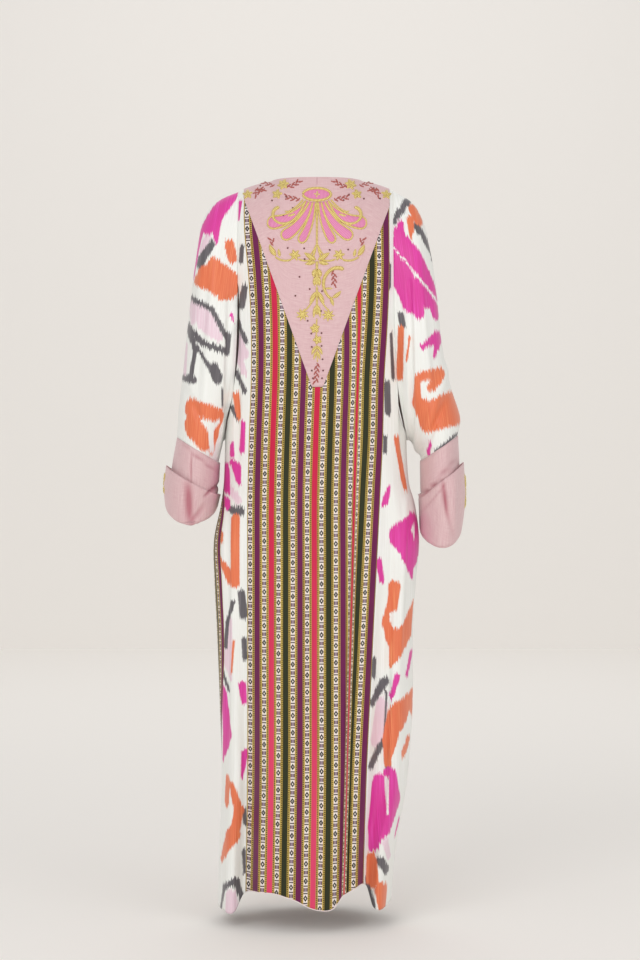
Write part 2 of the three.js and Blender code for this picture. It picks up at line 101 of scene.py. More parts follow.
SHOULDER_LINE = Table(
    "x z",
    (0, 34), (30, 31), (60, 18), (88, -3), (110, -8), (136, -16), (160, -26), (180, -40),
)
SECTIONS = Table(
    "z left right back front power",
    (0, 173, 168, 92, 96, 2.6),
    (-150, 176, 170, 108, 118, 2.6),
    (-300, 178, 173, 116, 130, 2.5),
    (-450, 182, 177, 110, 126, 2.4),
    (-600, 186, 183, 110, 124, 2.3),
    (-650, 192, 196, 113, 126, 2.3),
    (-720, 206, 204, 118, 130, 2.25),
    (-800, 205, 198, 124, 134, 2.2),
    (-900, 200, 192, 130, 138, 2.2),
    (-1050, 194, 191, 140, 146, 2.2),
    (-1200, 190, 180, 152, 154, 2.2),
    (-1330, 195, 158, 163, 160, 2.2),
    (-1450, 198, 147, 172, 165, 2.2),
)
HEM_LINE = Table(
    "angle z",
    (-45, -1412), (-22, -1434), (0, -1443), (22, -1447), (37, -1446), (46, -1410), (64, -1402),
    (79, -1413), (90, -1432), (100, -1430), (110, -1404), (127, -1392), (136, -1434),
    (155, -1438), (180, -1430), (205, -1426), (230, -1412), (270, -1432), (315, -1412),
)
BODY_FOLDS = Table(
    "start_z start_angle hem_angle half_angle depth",
    (-620, 48, 46, 13, -52),
    (-560, 131, 127, 13, -50),
    (-700, 26, 26, 13, 24),
    (-700, 150, 148, 14, 24),
    (-760, 82, 92, 9, -7),
    (-560, 112, 107, 9, -11),
    (-900, 68, 66, 10, -6),
    (-640, 226, 232, 14, -30),
    (-640, 314, 310, 14, -32),
    (-820, 258, 256, 10, -9),
    (-760, 284, 286, 9, -8),
)
PANEL_EDGES = Table(
    "z back_left back_right front_left front_right",
    (0, 145, 144, 38, 38),
    (-100, 144, 143, 39, 39),
    (-200, 135, 143, 41, 41),
    (-300, 130, 139, 41, 41),
    (-400, 130, 133, 40, 40),
    (-520, 134, 130, 30, 34),
    (-640, 137, 124, -16, 26),
    (-760, 137, 118, -24, 24),
    (-960, 137, 108, -22, 24),
    (-1160, 137, 98, -4, 24),
    (-1320, 139, 93, 10, 24),
    (-1450, 141, 90, 14, 24),
)
SIDE_LINE = Table(
    "z left right",
    (-520, 0, 0), (-640, 32, 0), (-760, 34, 0), (-960, 33, 0), (-1160, 20, 0), (-1320, 10, 0),
    (-1450, 6, 0),
)
ARMHOLE = Table(
    "z degrees",
    (0, 30), (-150, 31), (-300, 31), (-400, 28), (-450, 23), (-490, 14), (-510, 6), (-520, 0),
)
BACK_YOKE = {
    "left_tip": (148, -32),
    "right_tip": (-146, -50),
    "point_x": -1,
    "point_half": 11,
    "point_z": -418,
}
FRONT_YOKE = {
    "left_tip": (148, -42),
    "right_tip": (-146, -46),
    "point_x": 0,
    "point_half": 9,
    "point_z": -330,
}
LEFT_SLEEVE = Table(
    "share outer_x outer_z puff",
    (0.04, 186, -36, 9),
    (0.1, 211, -54, 15),
    (0.17, 229, -86, 18),
    (0.26, 238, -130, 19),
    (0.37, 246, -185, 18),
    (0.49, 254, -250, 16),
    (0.61, 262, -325, 13),
    (0.74, 270, -400, 9),
    (0.87, 277, -462, 5),
)
RIGHT_SLEEVE = Table(
    "share outer_x outer_z puff",
    (0.04, 186, -42, 9),
    (0.1, 202, -62, 15),
    (0.17, 215, -92, 18),
    (0.26, 226, -138, 19),
    (0.37, 236, -200, 19),
    (0.49, 243, -265, 17),
    (0.61, 252, -340, 14),
    (0.74, 268, -415, 10),
    (0.87, 286, -474, 6),
)
LEFT_CUFF = Table(
    "along x half_x half_y y z tilt drop",
    (0, 237, 43, 90, -8, -540, 26, 0),
    (1, 244, 47, 91.5, -10, -594, 18, 9),
    (2, 250, 47, 92, -12, -640, 0, 38),
    (3, 250.5, 49.5, 94.5, -12, -644, 0, 40),
    (4, 251, 52.5, 97.5, -12, -640, 0, 38),
    (5, 251, 54.6, 98.5, -11, -621, 13, 21),
    (6, 247.5, 53.5, 97.5, -10, -599, 29, 6),
)
RIGHT_CUFF = Table(
    "along x half_x half_y y z tilt drop",
    (0, 244, 38, 92, -4, -536, 26, 0),
    (1, 246, 39, 93, -6, -600, 18, 8),
    (2, 248, 36, 92, -8, -688, 2, 34),
    (3, 248, 38.5, 94.5, -8, -692, 2, 36),
    (4, 248, 41.5, 97.5, -8, -688, 2, 34),
    (5, 250.5, 45.5, 99, -7, -640, 10, 18),
    (6, 248, 44.5, 98, -5, -596, 32, 4),
)


# ---- Surfaces


def mix(low, high, share):
    return low + (high - low) * share


def unit(directions):
    return directions / np.maximum(np.linalg.norm(directions, axis=-1, keepdims=True), 1e-9)


def turn_between(angle, other):
    return (angle - other + 180) % 360 - 180


def shoulder_height(x):
    return SHOULDER_LINE.value("x", "z", np.abs(x))


def fold_offset(angle, z):
    offset = np.zeros(np.broadcast(angle, z).shape)
    for fold in BODY_FOLDS.rows():
        share = np.clip((fold["start_z"] - z) / (fold["start_z"] - FOLD_END_Z), 0, 1)
        centre = mix(fold["start_angle"], fold["hem_angle"], share)
        turn = np.clip(turn_between(angle, centre) / fold["half_angle"], -1, 1)
        offset += fold["depth"] * share**FOLD_GROWTH * (0.5 + 0.5 * np.cos(np.pi * turn))
    return offset


def body_point(angle, z):
    """Points of the body's outer surface, the last axis x, y, z."""
    angle, z = np.broadcast_arrays(np.asarray(angle, dtype=float), np.asarray(z, dtype=float))
    cosine = np.cos(np.radians(angle))
    sine = np.sin(np.radians(angle))
    power = 2 / SECTIONS.value("z", "power", z)
    left = SECTIONS.value("z", "left", z)
    right = SECTIONS.value("z", "right", z)
    back = SECTIONS.value("z", "back", z)
    front = SECTIONS.value("z", "front", z)
    x = np.sign(cosine) * np.where(cosine >= 0, left, right) * np.abs(cosine) ** power
    below = np.maximum(shoulder_height(x) - z, SHOULDER_SEAM_DROP)
    share = np.minimum(below / SHOULDER_ROUNDING, 1)
    rise = np.sqrt(1 - (1 - share) ** 2)
    y = np.sign(sine) * np.where(sine >= 0, back, front) * np.abs(sine) ** power * rise
    offset = fold_offset(angle, z)
    return np.stack([x, y + offset * sine, z], axis=-1)


def body_normal(angle, z):
    point = body_point(angle, z)
    at_seam = shoulder_height(point[..., 0]) - z < 1
    level = np.where(at_seam, z - 1, z)
    around = body_point(angle + 0.5, level) - body_point(angle - 0.5, level)
    upward = body_point(angle, level + 0.5) - body_point(angle, level - 0.5)
    normal = np.cross(around, upward)
    normal[..., 1] = np.where(at_seam, 0, normal[..., 1])
    return unit(normal)


def angle_at_x(x, z):
    """Angle on the back at x and a height."""
    x, z = np.broadcast_arrays(np.asarray(x, dtype=float), np.asarray(z, dtype=float))
    half_width = np.where(x >= 0, SECTIONS.value("z", "left", z), SECTIONS.value("z", "right", z))
    power = 2 / SECTIONS.value("z", "power", z)
    cosine = np.minimum(np.abs(x) / half_width, 1) ** (1 / power)
    return np.degrees(np.arccos(np.where(x >= 0, cosine, -cosine)))


def back_edge(side, z):
    x = PANEL_EDGES.value("z", "back_left" if side > 0 else "back_right", z)
    return angle_at_x(side * x, z)


def front_edge(side, z):
    degrees = PANEL_EDGES.value("z", "front_left" if side > 0 else "front_right", z)
    return 360 - degrees if side > 0 else 180 + degrees


def armhole_degrees(z):
    return np.maximum(ARMHOLE.value("z", "degrees", np.maximum(z, UNDERARM_Z)), 0)


def top_edge(x, is_back):
    inward = np.maximum(1 - np.abs(x) / NECK_HALF_WIDTH, 0)
    dip = 0 if is_back else NECK_FRONT_DROP * inward**NECK_CURVE
    return np.where(inward > 0, NECK_BACK_Z - dip, shoulder_height(x))


def column_top(angle_at, is_back):
    z = np.full(np.shape(angle_at(0.0)), float(NECK_BACK_Z))
    for _ in range(TOP_TRIES):
        z = top_edge(body_point(angle_at(z), z)[..., 0], is_back)
    return z


def hem_height(angle):
    return HEM_LINE.value("angle", "z", turn_between(angle, HEM_MIDDLE_ANGLE) + HEM_MIDDLE_ANGLE)


def drops(top, end, count):
    """Heights from a top edge to an end: close together over the rounded shoulder."""
    near = 1 - np.cos(np.linspace(0, math.pi / 2, SHOULDER_ROWS))
    rounded = np.minimum(SHOULDER_ROUNDING, (top - end) * 0.5)
    start = top[:, None] - near[None, :] * rounded[:, None]
    rest = np.linspace(0, 1, count + 1)[None, 1:]
    return np.concatenate([start, mix(start[:, -1:], end[:, None], rest)], axis=1)


# ---- Meshes


def vectors(first, second, third=0.0):
    """Three fields stored together along a last axis."""
    return np.stack(np.broadcast_arrays(first, second, third), axis=-1)


def flat(grids):
    return np.concatenate([grid.reshape(-1, 3) for grid in grids])


def surface_lengths(points):
    """Distances along a grid's columns and rows, in metres, as cloth coordinates."""
    across = np.linalg.norm(np.diff(points, axis=0), axis=-1).mean(axis=1)
    along = np.linalg.norm(np.diff(points, axis=1), axis=-1)
    u = np.concatenate([[0], np.cumsum(across)])[:, None] * np.ones(points.shape[1])
    v = np.concatenate([np.zeros((points.shape[0], 1)), np.cumsum(along, axis=1)], axis=1)
    return u * MM, v * MM


def add_mesh(name, points, faces, material, **stored):
    """An object from points in millimetres, with named vectors stored on its points."""
    mesh = bpy.data.meshes.new(name)
    mesh.from_pydata((points * MM).tolist(), [], faces)
    for key, value in stored.items():
        attribute = mesh.attributes.new(key, "FLOAT_VECTOR", "POINT")
        attribute.data.foreach_set("vector", value.astype(np.float32).ravel())
    mesh.materials.append(material)
    made = bpy.data.objects.new(name, mesh)
    bpy.context.scene.collection.objects.link(made)
    return made


def cloth(node, grids, material, stored, closed=False, flip=False):
    """A cloth shell that stands for a solid, from grids of points and what each grid stores."""
    faces = []
    first = 0
    for points in grids:
        columns, rows = points.shape[:2]
        for i in range(columns if closed else columns - 1):
            j = (i + 1) % columns
            for k in range(rows - 1):
                a = first + i * rows + k
                b = first + j * rows + k
                face = (a, a + 1, b + 1, b)
                faces.append(face[::-1] if flip else face)
        first += columns * rows
    whole = {key: flat([values[key] for values in stored]) for key in stored[0]}
    piece = add_mesh(f"{node}_cloth", flat(grids), faces, material, **whole)
    if len(grids) > 1:
        work = bmesh.new()
        work.from_mesh(piece.data)
        bmesh.ops.remove_doubles(work, verts=work.verts, dist=JOIN_DISTANCE * MM)
        work.to_mesh(piece.data)
        work.free()
    piece.data.shade_smooth()
    thick = piece.modifiers.new("thickness", "SOLIDIFY")
    thick.thickness = SHELL * MM
    thick.offset = -1
    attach(piece, "root")
    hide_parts(node)
    return piece


# ---- Materials


def math_node(operation):
    """A method that feeds a value, and then its other arguments, to a math node."""
    return lambda value, *others: value.shader.math(operation, value, *others)


class Value:
    """An output of one of a material's nodes; arithmetic on it adds math nodes."""

    __add__ = math_node("ADD")
    __sub__ = math_node("SUBTRACT")
    __mul__ = math_node("MULTIPLY")
    __truediv__ = math_node("DIVIDE")
    __mod__ = math_node("FLOORED_MODULO")
    __lt__ = math_node("LESS_THAN")
    __gt__ = math_node("GREATER_THAN")
    __abs__ = math_node("ABSOLUTE")
    floor = math_node("FLOOR")
    fraction = math_node("FRACT")
    sine = math_node("SINE")
    near = math_node("COMPARE")
    either = math_node("MAXIMUM")

    def __init__(self, shader, socket):
        self.shader = shader
        self.socket = socket

    def __rsub__(self, other):
        return self.shader.math("SUBTRACT", other, self)

    def smooth(self, low, high):
        inputs = {"Value": self, "From Min": low, "From Max": high}
        return self.shader.node("ShaderNodeMapRange", inputs, "Result", interpolation_type="SMOOTHSTEP")


class Shader:
    """A material whose nodes are made by calls, with constants set on the sockets."""

    def __init__(self, name):
        self.material = bpy.data.materials.new(name)
        self.material.use_nodes = True
        self.tree = self.material.node_tree
        self.surface = self.tree.nodes["Principled BSDF"]

    def feed(self, socket, value):
        if isinstance(value, Value):
            self.tree.links.new(value.socket, socket)
        else:
            socket.default_value = value

    def node(self, kind, inputs, output, **settings):
        made = self.tree.nodes.new(kind)
        for key, value in settings.items():
            setattr(made, key, value)
        for key, value in inputs.items():
            self.feed(made.inputs[key], value)
        return Value(self, made.outputs[output])

    def math(self, operation, *values):
        return self.node("ShaderNodeMath", dict(enumerate(values)), 0, operation=operation)

    def colours(self, share, low, high, blend="MIX"):
        inputs = {0: share, 6: low, 7: high}
        return self.node("ShaderNodeMix", inputs, 2, data_type="RGBA", blend_type=blend)

    def attribute(self, name):
        """The three numbers that a mesh stores on its points under a name."""
        vector = self.node("ShaderNodeAttribute", {}, "Vector", attribute_name=name)
        return [self.node("ShaderNodeSeparateXYZ", {0: vector}, axis) for axis in range(3)]

    def threads(self, u, v, u_scale, v_scale, shift=0.0, detail=2.0, roughness=0.5):
        """Noise drawn out along threads by its two scales."""
        place = {0: u * u_scale + shift, 1: v * v_scale, 2: shift}
        vector = self.node("ShaderNodeCombineXYZ", place, 0)
        inputs = {"Vector": vector, "Scale": 1.0, "Detail": detail, "Roughness": roughness}
        return self.node("ShaderNodeTexNoise", inputs, "Fac")

    def bump(self, height, strength, distance):
        inputs = {"Height": height, "Strength": strength, "Distance": distance}
        return self.node("ShaderNodeBump", inputs, "Normal")

    def finish(self, **inputs):
        for key, value in inputs.items():
            self.feed(self.surface.inputs[key.replace("_", " ")], value)
        return self.material


def linear(*colour):
    """Scene colour of a colour in display numbers from 0 to 255."""
    shares = [channel / 255 for channel in colour]
    return tuple(c / 12.92 if c <= 0.04045 else ((c + 0.055) / 1.055) ** 2.4 for c in shares) + (1.0,)


PURPLE = linear(106, 20, 76)
RED = linear(202, 24, 68)
PALE_RED = linear(242, 88, 132)
GREEN = linear(40, 44, 15)
# painted sheen: lightens the velvet stripes in patches
PILE_PAINTED_SHEEN = linear(206, 196, 206)
GOLD_THREAD = linear(216, 186, 92)
GOLD_BROWN = linear(184, 154, 66)
GOLD_DOT = linear(40, 28, 8)
THREAD_WHITE = linear(240, 230, 226)
THREAD_MAUVE = linear(152, 130, 142)
THREAD_SLATE = linear(78, 60, 72)
THREAD_BLACK = linear(26, 18, 24)
IKAT_GROUND = linear(242, 243, 238)
IKAT_MAGENTA = linear(222, 58, 156)
IKAT_ORANGE = linear(232, 118, 78)
IKAT_CHARCOAL = linear(96, 92, 96)
IKAT_PINK = linear(236, 208, 220)
IKAT_STREAK = linear(255, 255, 255)
SILK_PINK = linear(228, 196, 197)
SILK_SHADE = linear(216, 176, 180)
# painted shade: the deeper pink mixed into the pink silk along its creases
SILK_PAINTED_CREASE_SHADE = linear(176, 92, 108)
SEAM_THREAD = linear(190, 142, 150)
EDGE_THREAD = linear(246, 232, 230)
# strand colours of the gold and satin embroidery: a painted highlight and a painted shade for each
GOLD_PAINTED_HIGHLIGHT = linear(255, 236, 150)
GOLD_PAINTED_SHADE = linear(176, 140, 66)
SATIN_PAINTED_HIGHLIGHT = linear(242, 156, 200)
SATIN_PAINTED_SHADE = linear(214, 112, 160)
BEAD_ROSE = linear(176, 92, 84)
BEAD_DARK = linear(112, 62, 58)

# The stripes, counted in pitches across a panel; a pitch is a woven band and a velvet stripe
STRIPE_PITCH = 28.0
BACK_STRIPES = 10.05
FRONT_STRIPES = 16.05
FRONT_MIDDLE = 7.81
FIRST_STRIPE = 0.1
PLEAT_WIDTH = 12.0

# The band's chart: shares of its width, and rows of one repeat of the motif
BAND_SHARE = 0.62
BAND_SOFT = 0.006
CENTRE_SHARE = 0.46
CHART_CELL = CENTRE_SHARE / 5
CHART_ROWS = 14.0
REPEAT_M = 0.033
REPEAT_SHIFT = 0.37
MOTIF_MIDDLE = 2.5
BLOCK_ROW = 9.0
DOTS_PER_REPEAT = 8.0
DOT_PLACE = 0.4


def striped_material():
    """Charted bands between velvet stripes, from pitches across and metres along."""
    shader = Shader("striped weave")
    across, along, _ = shader.attribute("weave")
    index = across.floor()
    place = across.fraction()
    in_band = place.smooth(BAND_SHARE + BAND_SOFT, BAND_SHARE - BAND_SOFT)

    turn = index % 3.0
    is_red = turn.near(1.0, 0.1)
    is_green = turn.near(2.0, 0.1)
    stripe = shader.colours(is_red, PURPLE, RED)
    stripe = shader.colours(is_green, stripe, GREEN)
    # painted sheen: noise patches lighten the velvet stripes as a shine would
    painted_sheen = shader.threads(across, along, 6.0, 14.0, detail=3.0)
    stripe = shader.colours(painted_sheen.smooth(0.42, 0.72), stripe, PILE_PAINTED_SHEEN, "SOFT_LIGHT")
    lower = along.smooth(0.55, 1.35)
    paler = shader.colours(0.55, stripe, PALE_RED)
    stripe = shader.colours(lower * is_red, stripe, paler)

    from_centre = abs(place / BAND_SHARE - 0.5)
    cells = from_centre / CHART_CELL
    repeats = along / REPEAT_M + index * REPEAT_SHIFT
    rows = repeats.fraction() * CHART_ROWS
    from_motif = abs(rows - MOTIF_MIDDLE)
    from_block = abs(rows.floor() - BLOCK_ROW)
    odd = (repeats.floor() + index) % 2.0

    reach = cells + from_motif
    diamond = reach.near(1.85, 0.85)
    heart = (reach < 0.6) * odd
    dark = heart.either(diamond) * (from_motif < MOTIF_MIDDLE)
    block = from_block < 1.5
    block_side = block * (cells > 1.5)
    bar = from_block.near(3.0, 0.1)
    centre = shader.colours(block, THREAD_WHITE, THREAD_MAUVE)
    centre = shader.colours(block_side.either(bar), centre, THREAD_SLATE)
    centre = shader.colours(dark, centre, THREAD_BLACK)

    stitch = (repeats * DOTS_PER_REPEAT).fraction().near(0.5, 0.3)
    dots = stitch * from_centre.near(DOT_PLACE, 0.06)
    tarnish = shader.threads(across, along, 24.0, 3.0, shift=9.0)
    gold = shader.colours(tarnish.smooth(0.4, 0.62), GOLD_BROWN, GOLD_THREAD)
    gold = shader.colours(dots, gold, GOLD_DOT)
    band = shader.colours(from_centre > CENTRE_SHARE / 2, centre, gold)

    velvet = 1.0 - in_band
    rib = (along * 2600.0).sine()
    return shader.finish(
        Base_Color=shader.colours(in_band, stripe, band),
        Roughness=velvet * 0.15 + 0.5,
        Sheen_Weight=velvet * 0.3,
        Sheen_Roughness=0.35,
        Specular_IOR_Level=0.35,
        Normal=shader.bump(velvet * 1.5 + rib * 0.25, 0.35, 0.0006),
    )


def ikat_material():
    """Dye laid over dye; each edge runs ragged along the warp, as fast as its field changes."""
    shader = Shader("ikat silk")
    p, q, _ = shader.attribute("weave")
    values = shader.attribute("ikat")
    slopes = shader.attribute("ikat_slope")
    pink, pink_slope, _ = shader.attribute("ikat_pink")
    coarse = shader.threads(p, q, 420.0, 22.0, detail=3.0, roughness=0.65)
    fine = shader.threads(p, q, 1500.0, 160.0, shift=3.0, detail=1.0)
    shift = (coarse - 0.5) * 40.0
    blur = (fine - 0.5) * 2.4

    colour = IKAT_GROUND
    layers = (
        (pink, pink_slope, IKAT_PINK),
        (values[CHARCOAL], slopes[CHARCOAL], IKAT_CHARCOAL),
        (values[ORANGE], slopes[ORANGE], IKAT_ORANGE),
        (values[MAGENTA], slopes[MAGENTA], IKAT_MAGENTA),
    )
    for value, slope, dye in layers:
        moved = value + slope * shift + blur
        colour = shader.colours(moved.smooth(-1.3, 1.5), colour, dye)
    streaks = shader.threads(p, q, 700.0, 9.0, shift=7.0)
    weave = (q * 5200.0).sine()
    return shader.finish(
        Base_Color=shader.colours(streaks.smooth(0.45, 0.8), colour, IKAT_STREAK, "SOFT_LIGHT"),
        Roughness=0.42,
        Specular_IOR_Level=0.4,
        Sheen_Weight=0.12,
        Sheen_Roughness=0.4,
        Normal=shader.bump(weave + fine * 2.0, 0.08, 0.0004),
    )


def pink_material():
    """Silk with thick threads across it, with painted shade making the pink deeper in its creases."""
    shader = Shader("slubbed pink silk")
    u, v, crease = shader.attribute("weave")
    slubs = shader.threads(u, v, 26.0, 900.0)
    warps = shader.threads(u, v, 1100.0, 50.0, shift=5.0, detail=1.0)
    threads = slubs + warps * 0.5
    colour = shader.colours(threads.smooth(0.55, 0.95), SILK_SHADE, SILK_PINK)
    return shader.finish(
        # painted shade: the crease share darkens the silk to a deeper pink
        Base_Color=shader.colours(crease * 0.8, colour, SILK_PAINTED_CREASE_SHADE),
        Roughness=0.62,
        Specular_IOR_Level=0.3,
        Sheen_Weight=0.25,
        Normal=shader.bump(threads, 0.3, 0.0006),
    )


def stitch_material(name, dark, bright, metallic, roughness):
    """Threads laid slantwise round a padded cord or leaf, their colour running from painted shade in the
    grooves to a painted highlight on each strand.
    """
    shader = Shader(name)
    along, around, _ = shader.attribute("weave")
    strand = (along * 2400.0 + around * 6.283).sine()
    return shader.finish(
        Base_Color=shader.colours(strand.smooth(-1.0, 0.7), dark, bright),
        Metallic=metallic,
        Roughness=roughness,
        Normal=shader.bump(strand, 0.5, 0.0004),
    )


def plain_material(name, colour, roughness, **more):
    return Shader(name).finish(Base_Color=colour, Roughness=roughness, **more)


# ---- Ikat dyeing: strokes laid out in millimetres on the back view, as a place, an end
# and a half width at each; WHITE keeps its stroke undyed

MAGENTA, ORANGE, CHARCOAL, PINK, WHITE = range(5)
DYES = 5
NO_DYE = -60.0
DYE_JOIN = 5.0
SIDE_WRAP = 0.3
SLEEVE_TURN = 26.0


def strokes(*rows):
    return Table("x z end_x end_z half end_half", *rows)


LEFT_SLEEVE_DYES = {
    MAGENTA: strokes(
        (178, -36, 212, -94, 18, 20), (202, -94, 198, -130, 13, 3), (228, -100, 244, -196, 7, 3),
        (170, -274, 166, -288, 4, 2),
    ),
    ORANGE: strokes(
        (222, -196, 178, -224, 20, 24), (206, -176, 170, -210, 14, 18),
        (236, -204, 220, -210, 12, 16), (174, -132, 166, -166, 10, 10),
        (248, -458, 188, -474, 19, 13), (246, -490, 222, -524, 24, 20), (182, -476, 170, -514, 13, 7),
        (186, -514, 182, -548, 10, 8),
    ),
    CHARCOAL: strokes(
        (206, -136, 232, -172, 9, 13), (248, -238, 206, -264, 6, 5), (206, -264, 176, -320, 6, 6),
        (174, -316, 178, -348, 5, 7), (182, -348, 224, -330, 6, 6), (224, -330, 254, -296, 6, 8),
        (256, -300, 240, -344, 8, 6), (240, -344, 250, -400, 6, 8), (270, -396, 242, -402, 6, 8),
        (244, -324, 212, -376, 4, 5), (203, -384, 195, -400, 14, 14), (186, -420, 166, -460, 3, 3),
    ),
    PINK: strokes(
        (214, -116, 226, -148, 8, 11), (238, -264, 206, -296, 18, 18), (224, -290, 192, -320, 18, 10),
        (250, -256, 244, -284, 10, 10), (258, -332, 262, -386, 6, 8),
    ),
    WHITE: strokes(
        (193, -484, 209, -500, 4, 7), (209, -500, 204, -542, 8, 7),
    ),
}
LEFT_BODY_DYES = {
    MAGENTA: strokes(
        (152, -52, 154, -88, 6, 3), (146, -490, 148, -540, 6, 8), (168, -532, 168, -564, 6, 8),
        (182, -580, 178, -650, 16, 10), (158, -576, 154, -604, 12, 6),
        (186, -1016, 176, -1100, 8, 16), (178, -1110, 186, -1156, 14, 3),
        (146, -1004, 144, -1036, 8, 6), (142, -1136, 148, -1184, 7, 2),
    ),
    ORANGE: strokes(
        (160, -436, 154, -476, 8, 6), (161, -678, 161, -800, 11, 10), (192, -760, 168, -798, 6, 12),
        (190, -706, 190, -722, 6, 6), (164, -920, 168, -976, 3, 2.4), (176, -1190, 178, -1236, 8, 9),
        (168, -1200, 156, -1244, 8, 8), (156, -1244, 160, -1284, 8, 10),
        (168, -1296, 188, -1350, 17, 6),
    ),
    CHARCOAL: strokes(
        (148, -140, 150, -168, 6, 6), (142, -224, 148, -256, 8, 10), (162, -292, 140, -324, 6, 6),
        (162, -384, 142, -424, 6, 6), (168, -456, 156, -480, 6, 4), (172, -656, 150, -660, 8, 9),
        (166, -842, 176, -880, 6, 4), (176, -880, 180, -930, 4, 5), (188, -986, 174, -1016, 4, 4),
        (148, -824, 144, -864, 8, 10), (144, -914, 142, -950, 6, 6), (142, -1246, 142, -1276, 4, 4),
        (143, -1326, 143, -1372, 4, 3), (190, -1446, 182, -1400, 4, 6),
        (182, -1400, 162, -1386, 6, 6), (162, -1386, 146, -1420, 6, 4),
    ),
    PINK: strokes(
        (158, -320, 142, -352, 8, 10), (158, -348, 144, -388, 10, 8), (170, -620, 154, -640, 8, 8),
        (172, -876, 174, -960, 8, 12), (174, -960, 170, -992, 10, 4),
        (170, -1416, 170, -1444, 12, 14),
    ),
    WHITE: strokes(
        (178, -558, 138, -554, 2.4, 2.4), (196, -628, 170, -634, 2.8, 2.8),
    ),
}
RIGHT_SLEEVE_DYES = {
    MAGENTA: strokes(
        (-168, -92, -162, -130, 6, 14), (-162, -110, -176, -150, 10, 24),
        (-182, -164, -214, -226, 33, 37), (-196, -230, -200, -268, 17, 15),
        (-230, -240, -236, -270, 20, 14), (-162, -130, -160, -200, 12, 14),
        (-160, -200, -184, -252, 14, 20), (-206, -338, -240, -318, 5, 13),
        (-242, -322, -230, -358, 13, 3), (-222, -530, -198, -556, 6, 4),
        (-186, -550, -192, -566, 4, 4),
    ),
    ORANGE: strokes(
        (-192, -60, -202, -84, 12, 12), (-184, -84, -186, -120, 8, 6), (-166, -304, -162, -396, 7, 8),
        (-182, -320, -176, -364, 3, 3), (-200, -398, -246, -389, 9, 12),
        (-238, -398, -222, -420, 12, 10), (-197, -402, -196, -450, 8, 15),
        (-206, -462, -274, -442, 20, 22), (-214, -486, -274, -468, 22, 22),
    ),
    CHARCOAL: strokes(
        (-180, -42, -152, -92, 8, 6), (-196, -98, -234, -158, 9, 10), (-166, -276, -170, -296, 7, 7),
        (-278, -508, -238, -550, 4, 5),
    ),
    PINK: strokes(
        (-172, -224, -172, -260, 7, 7),
    ),
    WHITE: strokes(
        (-148, -144, -194, -198, 1.6, 2.4), (-194, -198, -248, -252, 2.6, 2.6),
        (-196, -124, -222, -158, 11, 9), (-206, -412, -218, -434, 4, 7),
        (-218, -434, -270, -412, 7, 4),
    ),
}
RIGHT_BODY_DYES = {
    MAGENTA: strokes(
        (-142, -614, -134, -646, 4, 8), (-190, -674, -156, -706, 12, 14),
        (-170, -712, -188, -752, 28, 20), (-181, -752, -188, -796, 18, 4),
        (-200, -686, -200, -740, 12, 12), (-124, -760, -128, -800, 8, 6),
        (-157, -984, -148, -1026, 7, 4), (-188, -944, -178, -982, 7, 5),
        (-122, -1192, -118, -1280, 18, 20), (-116, -1280, -108, -1320, 16, 8),
        (-146, -1176, -156, -1230, 12, 16), (-156, -1230, -136, -1290, 16, 10),
        (-162, -1270, -154, -1300, 4, 3),
    ),
    ORANGE: strokes(
        (-158, -520, -174, -616, 8, 7), (-153, -812, -152, -850, 13, 9),
        (-134, -872, -146, -906, 6, 14), (-156, -908, -168, -912, 20, 20),
        (-190, -842, -176, -900, 3, 20), (-162, -922, -146, -962, 22, 3),
        (-145, -836, -134, -882, 7, 7), (-190, -1020, -166, -1060, 9, 24),
        (-164, -1060, -148, -1110, 24, 15), (-146, -1110, -137, -1160, 14, 5),
        (-186, -1046, -192, -1074, 12, 5), (-181, -1112, -172, -1140, 8, 9),
        (-104, -1336, -108, -1388, 8, 10), (-128, -1404, -128, -1428, 18, 14),
    ),
    CHARCOAL: strokes(
        (-144, -176, -144, -220, 3, 3), (-146, -310, -150, -400, 4, 5),
        (-138, -412, -140, -464, 8, 8), (-134, -516, -134, -544, 5, 5),
        (-112, -952, -110, -984, 6, 6), (-108, -1036, -134, -998, 8, 10),
        (-106, -1156, -130, -1112, 9, 6), (-136, -1016, -134, -1110, 2.4, 2.4),
        (-138, -1150, -142, -1180, 6, 3), (-124, -1344, -136, -1366, 9, 11),
        (-98, -1380, -102, -1440, 4, 4),
    ),
    PINK: strokes(
        (-126, -1040, -116, -1110, 14, 16), (-134, -1308, -142, -1340, 8, 8),
    ),
    WHITE: strokes(
        (-192, -822, -154, -880, 6, 4.6), (-154, -880, -146, -864, 4.6, 2),
        (-196, -1086, -166, -1098, 4, 5), (-166, -1098, -153, -1152, 5, 8),
        (-136, -1184, -138, -1252, 2.6, 1.6),
    ),
}


def joined(first, second):
    """The larger of two fields, with the corner between them rounded."""
    near = np.maximum(DYE_JOIN - np.abs(first - second), 0) / DYE_JOIN
    return np.maximum(first, second) + near**2 * DYE_JOIN / 4


def stroke_distance(p, q, start, end):
    """Distance to a straight stroke, and the place along it from 0 to 1."""
    way = end - start
    length = max(float(way @ way), 1e-6)
    share = np.clip(((p - start[0]) * way[0] + (q - start[1]) * way[1]) / length, 0, 1)
    return np.hypot(p - start[0] - share * way[0], q - start[1] - share * way[1]), share


class Chart:
    """Finds the cloth coordinates p, q of places given as seen from behind."""

    def __init__(self, points, p, q, seen):
        self.x = points[..., 0][seen]
        self.z = points[..., 2][seen]
        self.cloth = np.stack([p[seen], q[seen]], axis=-1)

    def at(self, x, z):
        nearest = np.argmin((self.x - x) ** 2 + (self.z - z) ** 2)
        return self.cloth[nearest]


def dye_fields(p, q, strokes):
    """How far each place lies inside each dye's strokes; undyed strokes are cut out of all."""
    fields = np.full((DYES, *p.shape), NO_DYE)
    for dye, start, end, half, end_half in strokes:
        distance, share = stroke_distance(p, q, start, end)
        fields[dye] = joined(fields[dye], mix(half, end_half, share) - distance)
    return np.minimum(fields, -fields[WHITE])


